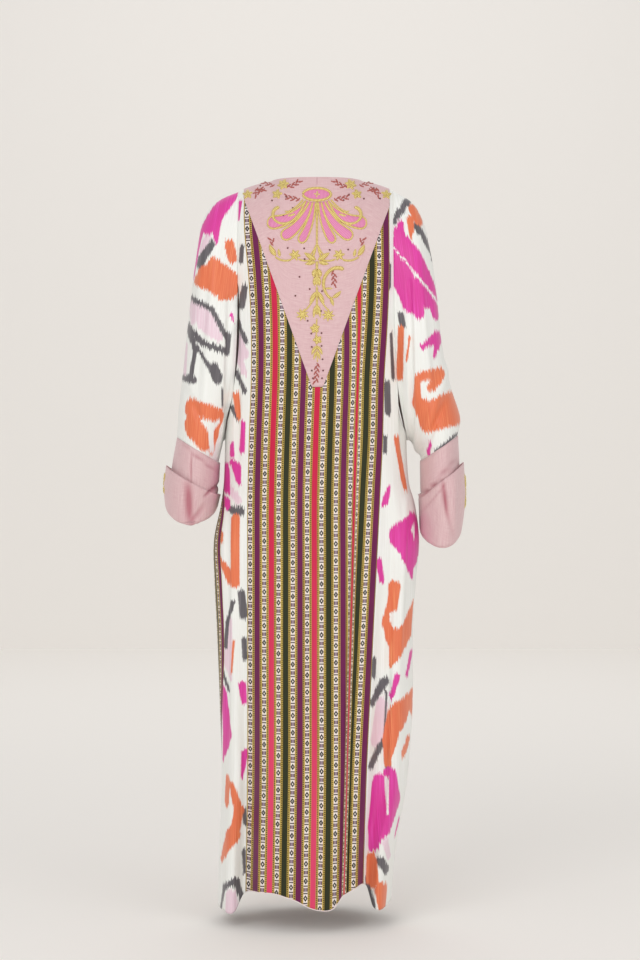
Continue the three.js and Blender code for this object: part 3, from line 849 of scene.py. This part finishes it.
def ikat_attributes(p, q, chart, dyes):
    """Cloth coordinates, dye fields and how fast each field changes along the warp."""
    strokes = []
    for dye, table in dyes.items():
        for row in table.rows():
            start = chart.at(row["x"], row["z"])
            end = chart.at(row["end_x"], row["end_z"])
            strokes.append((dye, start, end, row["half"], row["end_half"]))
    fields = dye_fields(p, q, strokes)
    slopes = (dye_fields(p, q + 2, strokes) - dye_fields(p, q - 2, strokes)) / 4
    return {
        "weave": vectors(p * MM, q * MM),
        "ikat": vectors(fields[MAGENTA], fields[ORANGE], fields[CHARCOAL]),
        "ikat_slope": vectors(slopes[MAGENTA], slopes[ORANGE], slopes[CHARCOAL]),
        "ikat_pink": vectors(fields[PINK], slopes[PINK]),
    }


# ---- Pieces of the dress

BODY_CREASES = Table(
    "x z end_x end_z half depth",
    (-76, -600, -52, -1420, 8, -9),
    (22, -760, -4, -1420, 13, -5),
    (96, -520, 84, -900, 12, -3),
    (158, -220, 156, -560, 8, -6),
    (-166, -220, -170, -560, 9, -7),
    (176, -640, 178, -1200, 9, -5),
    (-150, -700, -128, -1300, 10, -6),
    (-176, -640, -160, -1000, 8, 4),
)
SLEEVE_CREASES = Table(
    "x z end_x end_z half depth",
    (-182, -210, -188, -540, 8, -7),
    (172, -240, 178, -540, 9, -6),
    (214, -140, 240, -470, 15, -5),
    (-214, -130, -238, -430, 15, -5),
    (-262, -370, -206, -520, 12, 5),
    (-256, -440, -200, -560, 9, -6),
    (262, -420, 206, -520, 12, -4),
)
CUFF_CREASES = Table(
    "x z end_x end_z half depth",
    (248, -548, 248, -604, 3, -3),
    (266, -530, 198, -584, 4, -3),
    (254, -606, 250, -684, 14, -6),
    (224, -650, 246, -684, 8, -3),
    (222, -632, 192, -606, 5, -5),
    (-242, -598, -206, -634, 5, -5),
    (-260, -598, -208, -664, 3, -2),
    (-268, -590, -262, -704, 14, 5),
    (-246, -604, -266, -706, 9, -6),
    (-276, -560, -240, -592, 5, -3),
)

# Counts of columns and rows, and how the solvers and blends run
EDGE_LEVELS = np.linspace(-1460, 10, 148)
EDGE_TRIES = 241
SPACING_TOP_Z = -150
PANEL_COLUMNS = 72
PANEL_ROWS = 250
YOKE_COLUMNS = 96
YOKE_ROWS = 60
YOKE_TRIES = 16
YOKE_EASE = 0.6
SIDE_BACK_COLUMNS = 40
SIDE_FRONT_COLUMNS = 18
SKIRT_ROWS = 184
STRIP_ROWS = 84
ARMHOLE_ROWS = 70
SLEEVE_RINGS = 101
SLEEVE_CROWDING = 1.15
SLEEVE_PULL = 1.5
CLEARANCE_START = 0.04
SLEEVE_SEEN_TURN = 2.3
CREASE_SHADE_DEPTH = 5
EDGING_RADIUS = 1.0
NECK_SEAM_LENGTH = 16
NECK_SEAM_HALF = 0.5


def grid_normals(points):
    """Normals of a grid whose first axis runs round a closed ring."""
    around = np.roll(points, -1, axis=0) - np.roll(points, 1, axis=0)
    return unit(np.cross(np.gradient(points, axis=1), around))


def crease_offset(points, creases):
    """Soft troughs and ridges along straight strokes of the back view."""
    x = points[..., 0]
    z = points[..., 2]
    offset = np.zeros(x.shape)
    for crease in creases.rows():
        start = np.array([crease["x"], crease["z"]])
        end = np.array([crease["end_x"], crease["end_z"]])
        distance, share = stroke_distance(x, z, start, end)
        across = np.clip(1 - (distance / crease["half"]) ** 2, 0, 1) ** 2
        offset += crease["depth"] * across * np.sin(np.pi * np.clip(share * 0.9 + 0.05, 0, 1)) ** 0.6
    return offset


def panel_columns(is_back, count):
    """Angle functions of a striped panel's columns, evenly apart along the cloth."""
    edge = back_edge if is_back else front_edge
    left = edge(1, EDGE_LEVELS)
    right = edge(-1, EDGE_LEVELS)
    first, last = (left, right) if is_back else (right, left)
    tries = mix(first[:, None] + SEAM_TURN, last[:, None] - SEAM_TURN, np.linspace(0, 1, EDGE_TRIES))
    points = body_point(tries, np.minimum(EDGE_LEVELS, SPACING_TOP_Z)[:, None])
    steps = np.linalg.norm(np.diff(points, axis=1), axis=-1)
    lengths = np.concatenate([np.zeros((len(EDGE_LEVELS), 1)), np.cumsum(steps, axis=1)], axis=1)
    shares = np.linspace(0, 1, count + 1)
    even = np.stack([np.interp(shares * row[-1], row, turns) for row, turns in zip(lengths, tries)])
    return [lambda z, turns=turns: np.interp(z, EDGE_LEVELS, turns) for turns in even.T]


def column_tops(columns, is_back):
    return [float(column_top(angle_at, is_back)) for angle_at in columns]


def column_hems(columns):
    return np.array([float(hem_height(angle_at(FOLD_END_Z))) for angle_at in columns])


def creased_body(angles, heights, lift=0.0):
    points = body_point(angles, heights)
    lifts = lift + crease_offset(points, BODY_CREASES)
    return points + body_normal(angles, heights) * lifts[..., None]


def body_grid(columns, tops, ends, count, lift=0.0):
    heights = drops(np.asarray(tops), np.asarray(ends), count)
    angles = np.stack([angle_at(row) for angle_at, row in zip(columns, heights)])
    return creased_body(angles, heights, lift)


def back_stripes(points):
    """Stripe pitches across the back panel: upright from the left edge to the pleat, along the
    right edge beyond it. The pleat takes up the cloth that doesn't show."""
    across = FIRST_STRIPE + np.abs(points[..., 0] - points[0, :, 0]) / STRIPE_PITCH
    total = across[-1]
    pleat = BODY_CREASES.rows()[0]
    share = (points[..., 2] - pleat["z"]) / (pleat["end_z"] - pleat["z"])
    pleat_x = mix(pleat["x"], pleat["end_x"], share)
    passed = np.clip((pleat_x - points[..., 0]) / PLEAT_WIDTH + 0.5, 0, 1)
    return across * np.minimum(BACK_STRIPES / total, 1) + np.maximum(BACK_STRIPES - total, 0) * passed


def front_stripes(points):
    """Stripe pitches across the front panel: upright in front, and along the panel's edge where
    it comes round to the back."""
    steps = np.linalg.norm(np.diff(points, axis=0), axis=-1)
    across = np.concatenate([np.zeros((1, points.shape[1])), np.cumsum(steps, axis=0)])
    in_front = points[..., 1] < 0
    rows = zip(points[..., 0].T, across.T, in_front.T)
    middle = np.array([np.interp(0, x[mask], row[mask]) for x, row, mask in rows])
    upright = FRONT_MIDDLE + (across - middle) / STRIPE_PITCH
    along_edge = FRONT_STRIPES + (across - across[-1]) / STRIPE_PITCH
    return np.where(in_front, upright, along_edge)


def panel(node, is_back):
    columns = panel_columns(is_back, PANEL_COLUMNS)
    points = body_grid(columns, column_tops(columns, is_back), column_hems(columns), PANEL_ROWS)
    stripes = back_stripes(points) if is_back else front_stripes(points)
    weave = vectors(stripes, -points[..., 2] * MM)
    edge_cord(f"{node}_cloth_edging", points[:, -1], EDGING_RADIUS)
    return cloth(node, [points], STRIPED, [{"weave": weave}])


def edge_cord(name, line, radius):
    """A thin edging sewn along a line of the cloth."""
    tangent = unit(np.gradient(line, axis=0))
    outward = unit(np.cross(tangent, [0.0, 0.0, 1.0]))
    upward = np.cross(outward, tangent)
    turn = np.linspace(0, 2 * math.pi, 7)[:-1, None]
    around = outward[:, None] * np.cos(turn) + upward[:, None] * np.sin(turn)
    stitched(name, [line[:, None] + radius * around], EDGING)


def yoke_edge(yoke_sizes, x):
    side = 1 if x > yoke_sizes["point_x"] else -1
    inner = yoke_sizes["point_x"] + side * yoke_sizes["point_half"]
    tip, tip_z = yoke_sizes["left_tip"] if side > 0 else yoke_sizes["right_tip"]
    share = min(max((x - inner) / (tip - inner), 0), 1)
    return mix(yoke_sizes["point_z"], tip_z, share)


def yoke_end(angle_at, top, yoke_sizes):
    end = top
    for _ in range(YOKE_TRIES):
        x = float(body_point(angle_at(end), end)[0])
        end = mix(end, yoke_edge(yoke_sizes, x), YOKE_EASE)
    return float(end)


def yoke(node, is_back, yoke_sizes):
    columns = panel_columns(is_back, YOKE_COLUMNS)
    tops = column_tops(columns, is_back)
    ends = [yoke_end(angle_at, top, yoke_sizes) for angle_at, top in zip(columns, tops)]
    points = body_grid(columns, tops, ends, YOKE_ROWS, YOKE_LIFT)
    weave = vectors(*surface_lengths(points))
    return cloth(node, [points], PINK_SILK, [{"weave": weave}])


def side_angle(side, degrees):
    return degrees if side > 0 else 180 - degrees


def side_columns(side, start, end, count):
    def column(share):
        return lambda z: side_angle(side, mix(start(z), end(z), share))
    return [column(share) for share in np.linspace(0, 1, count + 1)]


def side_piece(node, side, dyes):
    """A skirt from the back panel round to the front panel, with a strip up each edge of the
    armhole; the dye pattern runs out to the side and back again."""
    def back(z):
        return turn_between(side_angle(side, back_edge(side, z)), 0) - SEAM_TURN

    def front(z):
        return turn_between(side_angle(side, front_edge(side, z)), 0) + SEAM_TURN

    def middle(z):
        return SIDE_LINE.value("z", "left" if side > 0 else "right", z)

    def arm_front(z):
        return -armhole_degrees(z)

    skirt = side_columns(side, back, middle, SIDE_BACK_COLUMNS)
    skirt += side_columns(side, middle, front, SIDE_FRONT_COLUMNS)[1:]
    levels = mix(float(UNDERARM_Z), column_hems(skirt)[:, None], np.linspace(0, 1, SKIRT_ROWS + 1))
    angles = np.stack([angle_at(row) for angle_at, row in zip(skirt, levels)])
    grids = [creased_body(angles, levels)]
    strips = (
        (side_columns(side, back, armhole_degrees, SIDE_BACK_COLUMNS), True),
        (side_columns(side, arm_front, front, SIDE_FRONT_COLUMNS), False),
    )
    for columns, is_back in strips:
        ends = [float(UNDERARM_Z)] * len(columns)
        grids.append(body_grid(columns, column_tops(columns, is_back), ends, STRIP_ROWS))

    cloth_x = [np.abs(points[..., 0]) - SIDE_WRAP * np.abs(points[..., 1]) for points in grids]
    seen = flat(grids[:2])
    seen_x = np.concatenate([p.ravel() for p in cloth_x[:2]])
    chart = Chart(seen, seen_x, seen[:, 2], seen[:, 1] > -5)
    stored = [ikat_attributes(p, points[..., 2], chart, dyes) for points, p in zip(grids, cloth_x)]
    return cloth(node, grids, IKAT, stored, flip=side > 0)


def armhole_loop(side):
    """Points from the shoulder down the back to the underarm and up the front."""
    edges = []
    for facing in (1, -1):
        angle_at = lambda z, facing=facing: side_angle(side, facing * armhole_degrees(z))
        top = float(column_top(angle_at, facing > 0))
        heights = drops(np.array([top]), np.array([float(UNDERARM_Z)]), ARMHOLE_ROWS)[0]
        edges.append(body_point(angle_at(heights), heights))
    edges[0][0, 1] = 0
    return np.concatenate([edges[0], edges[1][1:-1][::-1]]), len(edges[0]) - 1


def loop_turns(loop, half):
    steps = np.linalg.norm(np.roll(loop, -1, axis=0) - loop, axis=-1)
    lengths = np.concatenate([[0], np.cumsum(steps)])
    first = math.pi * lengths[: half + 1] / lengths[half]
    rest = (lengths[half + 1 : -1] - lengths[half]) / (lengths[-1] - lengths[half])
    return np.concatenate([first, math.pi + math.pi * rest])


def cuff_points(cuff, side, along, turns):
    """Points of a cuff at places along its table and turns round the wrist."""
    row = {key: cuff.value("along", key, along) for key in cuff.columns if key != "along"}
    sine = np.sin(turns)
    cosine = np.cos(turns)
    x = side * (row["x"] + row["half_x"] * cosine)
    z = row["z"] + row["tilt"] * cosine - row["drop"] * np.sqrt(sine**2 + 0.01)
    return np.stack([x, row["y"] + row["half_y"] * sine, z], axis=-1)


def sleeve(node, side, rings, cuff, dyes):
    """A sleeve from the armhole's loop to the cuff's ring, drawn outward to a line along its
    outer edge and puffed to the back and front."""
    loop, half = armhole_loop(side)
    turns = loop_turns(loop, half)
    seam = cuff_points(cuff, side, np.zeros(len(turns)), turns)
    outer = Table(
        "share outer_x outer_z puff",
        (0, abs(loop[0, 0]), loop[0, 2], 0),
        *[tuple(row.values()) for row in rings.rows()],
        (1, abs(seam[0, 0]), seam[0, 2], 0),
    )
    shares = np.linspace(0, 1, SLEEVE_RINGS) ** SLEEVE_CROWDING
    outer_x = side * outer.value("share", "outer_x", shares)
    outer_y = mix(loop[0, 1], seam[0, 1], shares)
    line = np.stack([outer_x, outer_y, outer.value("share", "outer_z", shares)], axis=-1)
    shift = line - mix(loop[None, 0], seam[None, 0], shares[:, None])
    pull = ((1 + np.cos(turns)) / 2) ** SLEEVE_PULL
    points = mix(loop[:, None], seam[:, None], shares[None, :, None]) + shift[None] * pull[:, None, None]
    points[..., 1] += outer.value("share", "puff", shares)[None] * np.sin(turns)[:, None]
    started = np.clip(shares / CLEARANCE_START, 0, 1)
    points[..., 0] += side * UNDERARM_CLEARANCE * (((1 - np.cos(turns)) / 2) ** 2)[:, None] * started[None]
    points += grid_normals(points) * side * crease_offset(points, SLEEVE_CREASES)[..., None]
    half_turn = np.minimum(turns, 2 * math.pi - turns)
    p = np.abs(points[..., 0]) + SLEEVE_TURN * (math.pi / 2 - half_turn)[:, None]
    q = points[..., 2]
    seen = np.broadcast_to((turns < SLEEVE_SEEN_TURN)[:, None], p.shape)
    stored = ikat_attributes(p, q, Chart(points, p, q, seen), dyes)
    return cloth(node, [points], IKAT, [stored], closed=True, flip=side < 0)


def cuff_piece(node, side, cuff):
    """A cuff that runs down, turns and comes back up outside, with painted shade deepening the pink in its
    creases.
    """
    loop, half = armhole_loop(side)
    turns = loop_turns(loop, half)
    along = np.concatenate([np.linspace(0, 2, 20), np.linspace(2, 4, 17)[1:], np.linspace(4, 6, 20)[1:]])
    turn_grid, along_grid = np.meshgrid(turns, along, indexing="ij")
    points = cuff_points(cuff, side, along_grid, turn_grid)
    offset = crease_offset(points, CUFF_CREASES)
    u, v = surface_lengths(points)
    # the third weave number carries the painted crease shade, stronger the deeper the crease
    weave = vectors(v, u, np.clip(-offset / CREASE_SHADE_DEPTH, 0, 1))
    turned = np.where(along > 3, -1, 1)[None, :]
    points += grid_normals(points) * (side * turned * offset)[..., None]
    return cloth(node, [points], PINK_SILK, [{"weave": weave}], closed=True, flip=side < 0)


# ---- Embroidery, in millimetres of the back view: each run starts at x outward from the centre
# line and z; heading 0 is straight down, 90 outward; side 0 means both sides

OVAL = {"z": -39.5, "half_x": 27.0, "half_z": 12.5}
FAN = Table(
    "x z heading length bend start_half end_half side",
    (19, -54, 30, 92, 64, 3, 14, 0),
    (12, -55, 15, 92, 48, 3, 12, 0),
    (5.5, -56, 6, 84, 26, 2.5, 9, 0),
)
GOLD_RUNS = Table(
    "x z heading length bend hook half end_half side",
    (0, -54, 0, 88, 0, 1, 2.2, 2.0, 1),
    (22, -52, 22, 120, 245, 2.2, 2.6, 3.4, 0),
    (27, -50, 38, 44, 40, 1.5, 1.8, 1.4, 0),
    (0.5, -138, 10, 27, 6, 1, 1.4, 1.2, 0),
    (0.5, -138, 24, 26, 10, 1, 1.4, 1.2, 0),
    (8, -168, 62, 30, 58, 1, 1.9, 1.7, 0),
    (50, -169, 70, 34, 62, 1, 2.2, 1.8, 0),
    (0, -172, 0, 18, 0, 1, 3.0, 2.4, 1),
    (0, -222, 0, 56, 0, 1, 2.4, 1.8, 1),
    (2, -236, 20, 42, 26, 1, 1.9, 1.4, 0),
    (52, -189, 225, 92, 185, 0.7, 4.2, 2.4, -1),
    (0, -284, 4, 52, -6, 1, 1.6, 1.2, 1),
    (0, -336, 0, 34, 4, 1, 1.5, 1.0, -1),
)
GOLD_LEAVES = Table(
    "x z heading length bend half side",
    (40, -78, 66, 22, 18, 3.0, 0),
    (46, -76, 92, 18, 20, 2.4, 0),
    (2, -146, 30, 18, -30, 3.0, 0),
    (2, -170, 120, 27, 6, 5.2, 0),
    (3, -173, 70, 21, 14, 4.2, 0),
    (80, -161, 140, 26, 22, 5.2, 0),
    (72, -163, 164, 16, 10, 3.2, 0),
    (1, -188, 46, 18, -62, 4.6, 0),
    (1, -202, 30, 20, -40, 4.0, 0),
    (0, -190, 0, 34, 0, 3.2, 1),
    (1, -232, 36, 30, -24, 4.8, 0),
    (1, -258, 20, 26, -16, 3.6, 0),
    (30, -244, 112, 22, 34, 4.0, -1),
    (27, -242, 12, 19, 10, 3.6, -1),
    (16, -226, 96, 15, -14, 2.2, -1),
    (1, -338, 38, 20, -20, 3.4, 0),
    (1, -348, 22, 18, -10, 2.6, 0),
)
GOLD_FLOWERS = Table(
    "x z petals length half first side",
    (43, -160, 6, 12, 3.1, 30, 0),
    (28, -277, 8, 13, 2.5, 10, 1),
    (22, -278, 8, 13, 2.5, 32, -1),
    (4, -304, 5, 10, 4.0, 20, 1),
    (1, -326, 5, 9.5, 3.8, 50, -1),
    (66, -17, 6, 12, 3.6, 12, 0),
    (78, -37, 5, 11, 3.6, 40, 0),
    (137, -34, 5, 11, 3.2, 24, 0),
    (0, -39.5, 4, 8, 2.0, 0, 1),
)
BEAD_SPRIGS = Table(
    "x z heading length bend side",
    (34, -48, 84, 26, 30, 0),
    (58, -24, 258, 24, -30, 0),
    (84, -16, 96, 20, 26, 0),
    (104, -24, 74, 22, -40, 0),
    (122, -28, 250, 18, 20, 0),
    (32, -192, 10, 26, -16, -1),
    (86, -140, 176, 14, -30, 0),
    (0, -372, 0, 34, 8, 1),
)
BEADS = Table(
    "x z",
    (34, -203), (42, -240), (14, -227), (-10, -231), (24, -168), (-25, -150), (25, -147),
    (18, -289), (-8, -270), (-9, -313), (11, -314), (10, -340), (-9, -338), (-11, -364),
    (10, -386), (-12, -386), (8, -401), (-10, -401), (47, -67), (65, -82), (57, -146),
    (-61, -149), (-52, -51), (60, -44), (88, -50), (-62, -40), (-92, -46), (-112, -22),
    (112, -16), (-124, -44),
)
CUFF_FLOWERS = Table(
    "x z petals length half first side",
    (18, -26, 6, 13, 3.4, 10, 1),
    (26, -62, 5, 12, 3.2, 30, 1),
    (-6, -46, 6, 12, 3.2, 0, 1),
)

RING_SIDES = 8
RUN_STEP = 1.6
PETAL_BEND = 24
FLOWER_HEART = 2.2
FAN_EDGE = 1.9
FAN_RIB = 0.8
OVAL_EDGE = 2.7
LEAF_RISE = 0.7
SATIN_RISE = 0.16
OVAL_RISE = 0.08
BEAD_RADIUS = 1.9
SEED_BEAD = 1.2
LONG_BEAD = 1.9
TIP_BEAD = 1.5
SPRIG_STEP = 3
SPRIG_LEAN = 44
SPRIG_LEAF = 8.0
EMBROIDERY_ROW = 5.9
CUFF_ROW_HEIGHT = 60


def run_path(x, z, heading, length, bend, side=1, hook=1.0):
    """Points of a run that turns outward by `bend` degrees, later with a larger hook."""
    steps = max(int(length / RUN_STEP), 6)
    share = (np.arange(steps) + 0.5) / steps
    turns = np.radians(heading + bend * share**hook)
    moves = np.stack([side * np.sin(turns), -np.cos(turns)], axis=-1) * length / steps
    start = np.array([[side * x, z]])
    return np.concatenate([start, start + np.cumsum(moves, axis=0)])


def row_path(row, side):
    hook = row.get("hook", 1.0)
    return run_path(row["x"], row["z"], row["heading"], row["length"], row["bend"], side, hook)


def sideways_of(path):
    tangent = unit(np.gradient(path, axis=0))
    return np.stack([-tangent[:, 1], tangent[:, 0]], axis=-1)


def on_back_yoke(x, z):
    angle = angle_at_x(x, z)
    return creased_body(angle, z, YOKE_LIFT), body_normal(angle, z)


def on_cuff(side, cuff):
    """Places on the turned-back layer: x runs round from the outer side, z down from its edge."""
    def place(x, z):
        turns = x / cuff.value("along", "half_y", 5.0)
        along = EMBROIDERY_ROW + z / CUFF_ROW_HEIGHT
        point = cuff_points(cuff, side, along, turns)
        around = cuff_points(cuff, side, along, turns + 0.02) - cuff_points(cuff, side, along, turns - 0.02)
        down = cuff_points(cuff, side, along - 0.05, turns) - cuff_points(cuff, side, along + 0.05, turns)
        normal = unit(np.cross(down, around) * side)
        return point + normal * SHELL, normal

    return place


def padded(path, half, rise, place):
    """Rings of a padded cord or leaf: half wide each way and rise high along its path."""
    turn = np.linspace(0, 2 * math.pi, RING_SIDES, endpoint=False)
    wide = half[:, None, None] * np.cos(turn)[None, :, None]
    spread = path[:, None] + sideways_of(path)[:, None] * wide
    points, normals = place(spread[..., 0], spread[..., 1])
    return points + normals * (rise[:, None, None] * np.sin(turn)[None, :, None])


def leaf_rings(path, half, place):
    share = np.linspace(0, 1, len(path))
    widths = half * np.maximum(np.sin(np.pi * share**0.85) ** 0.75, 0.12)
    return padded(path, widths, widths * LEAF_RISE, place)


def cord_rings(path, half, end_half, place):
    share = np.linspace(0, 1, len(path))
    ends = np.minimum(np.minimum(share, 1 - share) * len(path) / 2 + 0.3, 1)
    widths = mix(half, end_half, share) * ends
    return padded(path, widths, widths, place)


def bead_rings(x, z, radius, place):
    share = np.linspace(-0.98, 0.98, 6)
    path = np.stack([np.full(6, float(x)), z + radius * share], axis=-1)
    widths = radius * np.sqrt(1 - share**2)
    return padded(path, widths, widths, place)


def gold_run(row, side, place):
    return [cord_rings(row_path(row, side), row["half"], row["end_half"], place)]


def gold_leaf(row, side, place):
    return [leaf_rings(row_path(row, side), row["half"], place)]


def flower(row, side, place):
    rings = []
    for petal in range(int(row["petals"])):
        heading = row["first"] + 360 * petal / row["petals"]
        path = run_path(row["x"], row["z"], heading, row["length"], PETAL_BEND, side)
        rings.append(leaf_rings(path, row["half"], place))
    rings.append(bead_rings(side * row["x"], row["z"], FLOWER_HEART, place))
    return rings


def bead_sprig(row, side, place):
    """A run of seed beads with long beads leaning out on either side."""
    path = row_path(row, side)
    rings = []
    for number, (x, z) in enumerate(path[::SPRIG_STEP]):
        rings.append(bead_rings(x, z, SEED_BEAD, place))
        share = number * SPRIG_STEP / len(path)
        lean = SPRIG_LEAN if number % 2 else -SPRIG_LEAN
        heading = row["heading"] + row["bend"] * share + lean
        leaf = run_path(side * x, z, heading, SPRIG_LEAF, -lean / 2, side)
        rings.append(leaf_rings(leaf, LONG_BEAD, place))
        rings.append(bead_rings(*leaf[-1], TIP_BEAD, place))
    return rings


def fan_widths(row, path):
    """Half widths of a petal that widens toward its round end."""
    share = np.linspace(0, 1, len(path))
    round_end = np.sqrt(1 - np.clip((share - 0.84) / 0.165, 0, 1) ** 2)
    return mix(row["start_half"], row["end_half"], share**0.9) * round_end


def fan_satin(row, side, place):
    path = row_path(row, side)
    widths = fan_widths(row, path)
    return [padded(path, widths, widths * SATIN_RISE, place)]


def fan_gold(row, side, place):
    path = row_path(row, side)
    edge = sideways_of(path) * fan_widths(row, path)[:, None]
    outline = np.concatenate([path + edge, (path - edge)[::-1]])
    rib = path[len(path) // 3 : -8]
    return [cord_rings(outline, FAN_EDGE, FAN_EDGE, place), cord_rings(rib, FAN_RIB, FAN_RIB, place)]


def oval_satin(place):
    share = np.linspace(-1, 1, 25)
    middle = np.stack([share * OVAL["half_x"], np.full(25, OVAL["z"])], axis=-1)
    widths = OVAL["half_z"] * np.sqrt(np.maximum(1 - share**2, 0.002))
    return padded(middle, widths, widths * OVAL_RISE, place)


def oval_gold(place):
    turns = np.linspace(0, 2 * math.pi, 57)
    rim = np.stack([OVAL["half_x"] * np.cos(turns), OVAL["z"] + OVAL["half_z"] * np.sin(turns)], axis=-1)
    return cord_rings(rim, OVAL_EDGE, OVAL_EDGE, place)


def worked(table, make, place):
    """The closed runs that `make` gives for each row of a table, on the row's side or on both."""
    rings = []
    for row in table.rows():
        for side in (1, -1) if row["side"] == 0 else (int(row["side"]),):
            rings.extend(make(row, side, place))
    return rings


def stitched(name, rings, material):
    """One piece from many closed runs of rings."""
    faces = []
    weave = []
    first = 0
    for points in rings:
        count, sides = points.shape[:2]
        steps = np.linalg.norm(np.diff(points.mean(axis=1), axis=0), axis=-1)
        along = np.concatenate([[0], np.cumsum(steps)]) * MM
        weave.append(vectors(along[:, None], np.arange(sides) / sides))
        for row in range(count - 1):
            for side in range(sides):
                low = first + row * sides + side
                next_side = first + row * sides + (side + 1) % sides
                faces.append((low, next_side, next_side + sides, low + sides))
        faces.append(tuple(first + side for side in reversed(range(sides))))
        faces.append(tuple(first + (count - 1) * sides + side for side in range(sides)))
        first += count * sides
    made = add_mesh(name, flat(rings), faces, material, weave=flat(weave))
    made.data.shade_smooth()
    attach(made, "root")
    return made


def back_embroidery():
    place = on_back_yoke
    satin = [oval_satin(place), *worked(FAN, fan_satin, place)]
    gold = [oval_gold(place), *worked(FAN, fan_gold, place)]
    for table, make in ((GOLD_RUNS, gold_run), (GOLD_LEAVES, gold_leaf), (GOLD_FLOWERS, flower)):
        gold.extend(worked(table, make, place))
    beads = [bead_rings(row["x"], row["z"], BEAD_RADIUS, place) for row in BEADS.rows()]
    neck_line = run_path(0, NECK_BACK_Z - 1, 0, NECK_SEAM_LENGTH, 0)
    neck_seam = cord_rings(neck_line, NECK_SEAM_HALF, NECK_SEAM_HALF, place)
    stitched("back_yoke_satin_stitch", satin, SATIN_STITCH)
    stitched("back_yoke_gold_stitch", gold, GOLD_STITCH)
    stitched("back_yoke_bead_sprigs", worked(BEAD_SPRIGS, bead_sprig, place), ROSE_BEAD)
    stitched("back_yoke_beads", beads, DARK_BEAD)
    stitched("back_neck_seam", [neck_seam], SEAM_STITCH)


def cuff_embroidery(node, side, cuff):
    stitched(f"{node}_gold_stitch", worked(CUFF_FLOWERS, flower, on_cuff(side, cuff)), GOLD_STITCH)


STRIPED = striped_material()
IKAT = ikat_material()
PINK_SILK = pink_material()
GOLD_STITCH = stitch_material("gold couching", GOLD_PAINTED_SHADE, GOLD_PAINTED_HIGHLIGHT, 0.3, 0.36)
SATIN_STITCH = stitch_material("pink satin stitch", SATIN_PAINTED_SHADE, SATIN_PAINTED_HIGHLIGHT, 0.0, 0.4)
ROSE_BEAD = plain_material("rose beads", BEAD_ROSE, 0.3)
DARK_BEAD = plain_material("dark beads", BEAD_DARK, 0.3)
SEAM_STITCH = plain_material("seam thread", SEAM_THREAD, 0.7)
EDGING = plain_material("hem edging", EDGE_THREAD, 0.6)

back_panel = panel("back_panel", True)
front_panel = panel("front_panel", False)
back_yoke = yoke("back_yoke", True, BACK_YOKE)
front_yoke = yoke("front_yoke", False, FRONT_YOKE)
side_left = side_piece("side_left", 1, LEFT_BODY_DYES)
side_right = side_piece("side_right", -1, RIGHT_BODY_DYES)
back_embroidery()
cuff_embroidery("cuff_left", 1, LEFT_CUFF)
cuff_embroidery("cuff_right", -1, RIGHT_CUFF)
sleeve_left = sleeve("sleeve_left", 1, LEFT_SLEEVE, LEFT_CUFF, LEFT_SLEEVE_DYES)
sleeve_right = sleeve("sleeve_right", -1, RIGHT_SLEEVE, RIGHT_CUFF, RIGHT_SLEEVE_DYES)
cuff_left = cuff_piece("cuff_left", 1, LEFT_CUFF)
cuff_right = cuff_piece("cuff_right", -1, RIGHT_CUFF)


# ---- Studio

FLOOR_Z = -1.478
WALL_Y = -8.0
WALL_TOP = 5.0
STUDIO_HALF = 7.0
FLOOR_END = 8.0
STUDIO_GREY = linear(239, 236, 232)


def slab(name, corners, glow):
    """A flat sheet of the studio from its corners in metres, painted with a slight glow."""
    glowing = {"Emission_Color": STUDIO_GREY, "Emission_Strength": glow}
    paint = plain_material(f"{name} paint", STUDIO_GREY, 0.9, **glowing)
    return add_mesh(name, np.array(corners) / MM, [tuple(range(len(corners)))], paint)


def area_light(name, place, target, size, power):
    light = bpy.data.lights.new(name, "AREA")
    light.shape = "SQUARE"
    light.size = size
    light.energy = power
    made = bpy.data.objects.new(name, light)
    made.location = place
    made.rotation_euler = (Vector(target) - Vector(place)).to_track_quat("-Z", "Y").to_euler()
    bpy.context.scene.collection.objects.link(made)


ends = (-STUDIO_HALF, STUDIO_HALF)
floor_corners = [(x, WALL_Y, FLOOR_Z) for x in ends] + [(x, FLOOR_END, FLOOR_Z) for x in ends[::-1]]
wall_corners = [(x, WALL_Y, FLOOR_Z) for x in ends] + [(x, WALL_Y, WALL_TOP) for x in ends[::-1]]
floor = slab("floor", floor_corners, 0.09)
backdrop = slab("backdrop", wall_corners, 0.1)

area_light("key", (1.6, 4.2, 1.6), (0, 0, -0.6), 2.6, 62)
area_light("fill", (-2.6, 3.6, 0.4), (0, 0, -0.7), 2.4, 28)
area_light("wash", (0, -4.8, 3.4), (0, -4.81, FLOOR_Z), 4.0, 48)

world = bpy.data.worlds.new("studio air")
world.use_nodes = True
air = world.node_tree.nodes["Background"].inputs
air["Color"].default_value = (1.0, 0.985, 0.97, 1.0)
air["Strength"].default_value = 0.62
bpy.context.scene.world = world
bpy.context.scene.view_settings.view_transform = "Standard"

lens = bpy.data.cameras.new("camera")
lens.sensor_width = 36
lens.lens = 93.75
camera = bpy.data.objects.new("camera", lens)
camera.location = (-0.006, 5.0, -0.6)
camera.rotation_euler = (math.pi / 2, 0, math.pi)
bpy.context.scene.collection.objects.link(camera)
bpy.context.scene.camera = camera
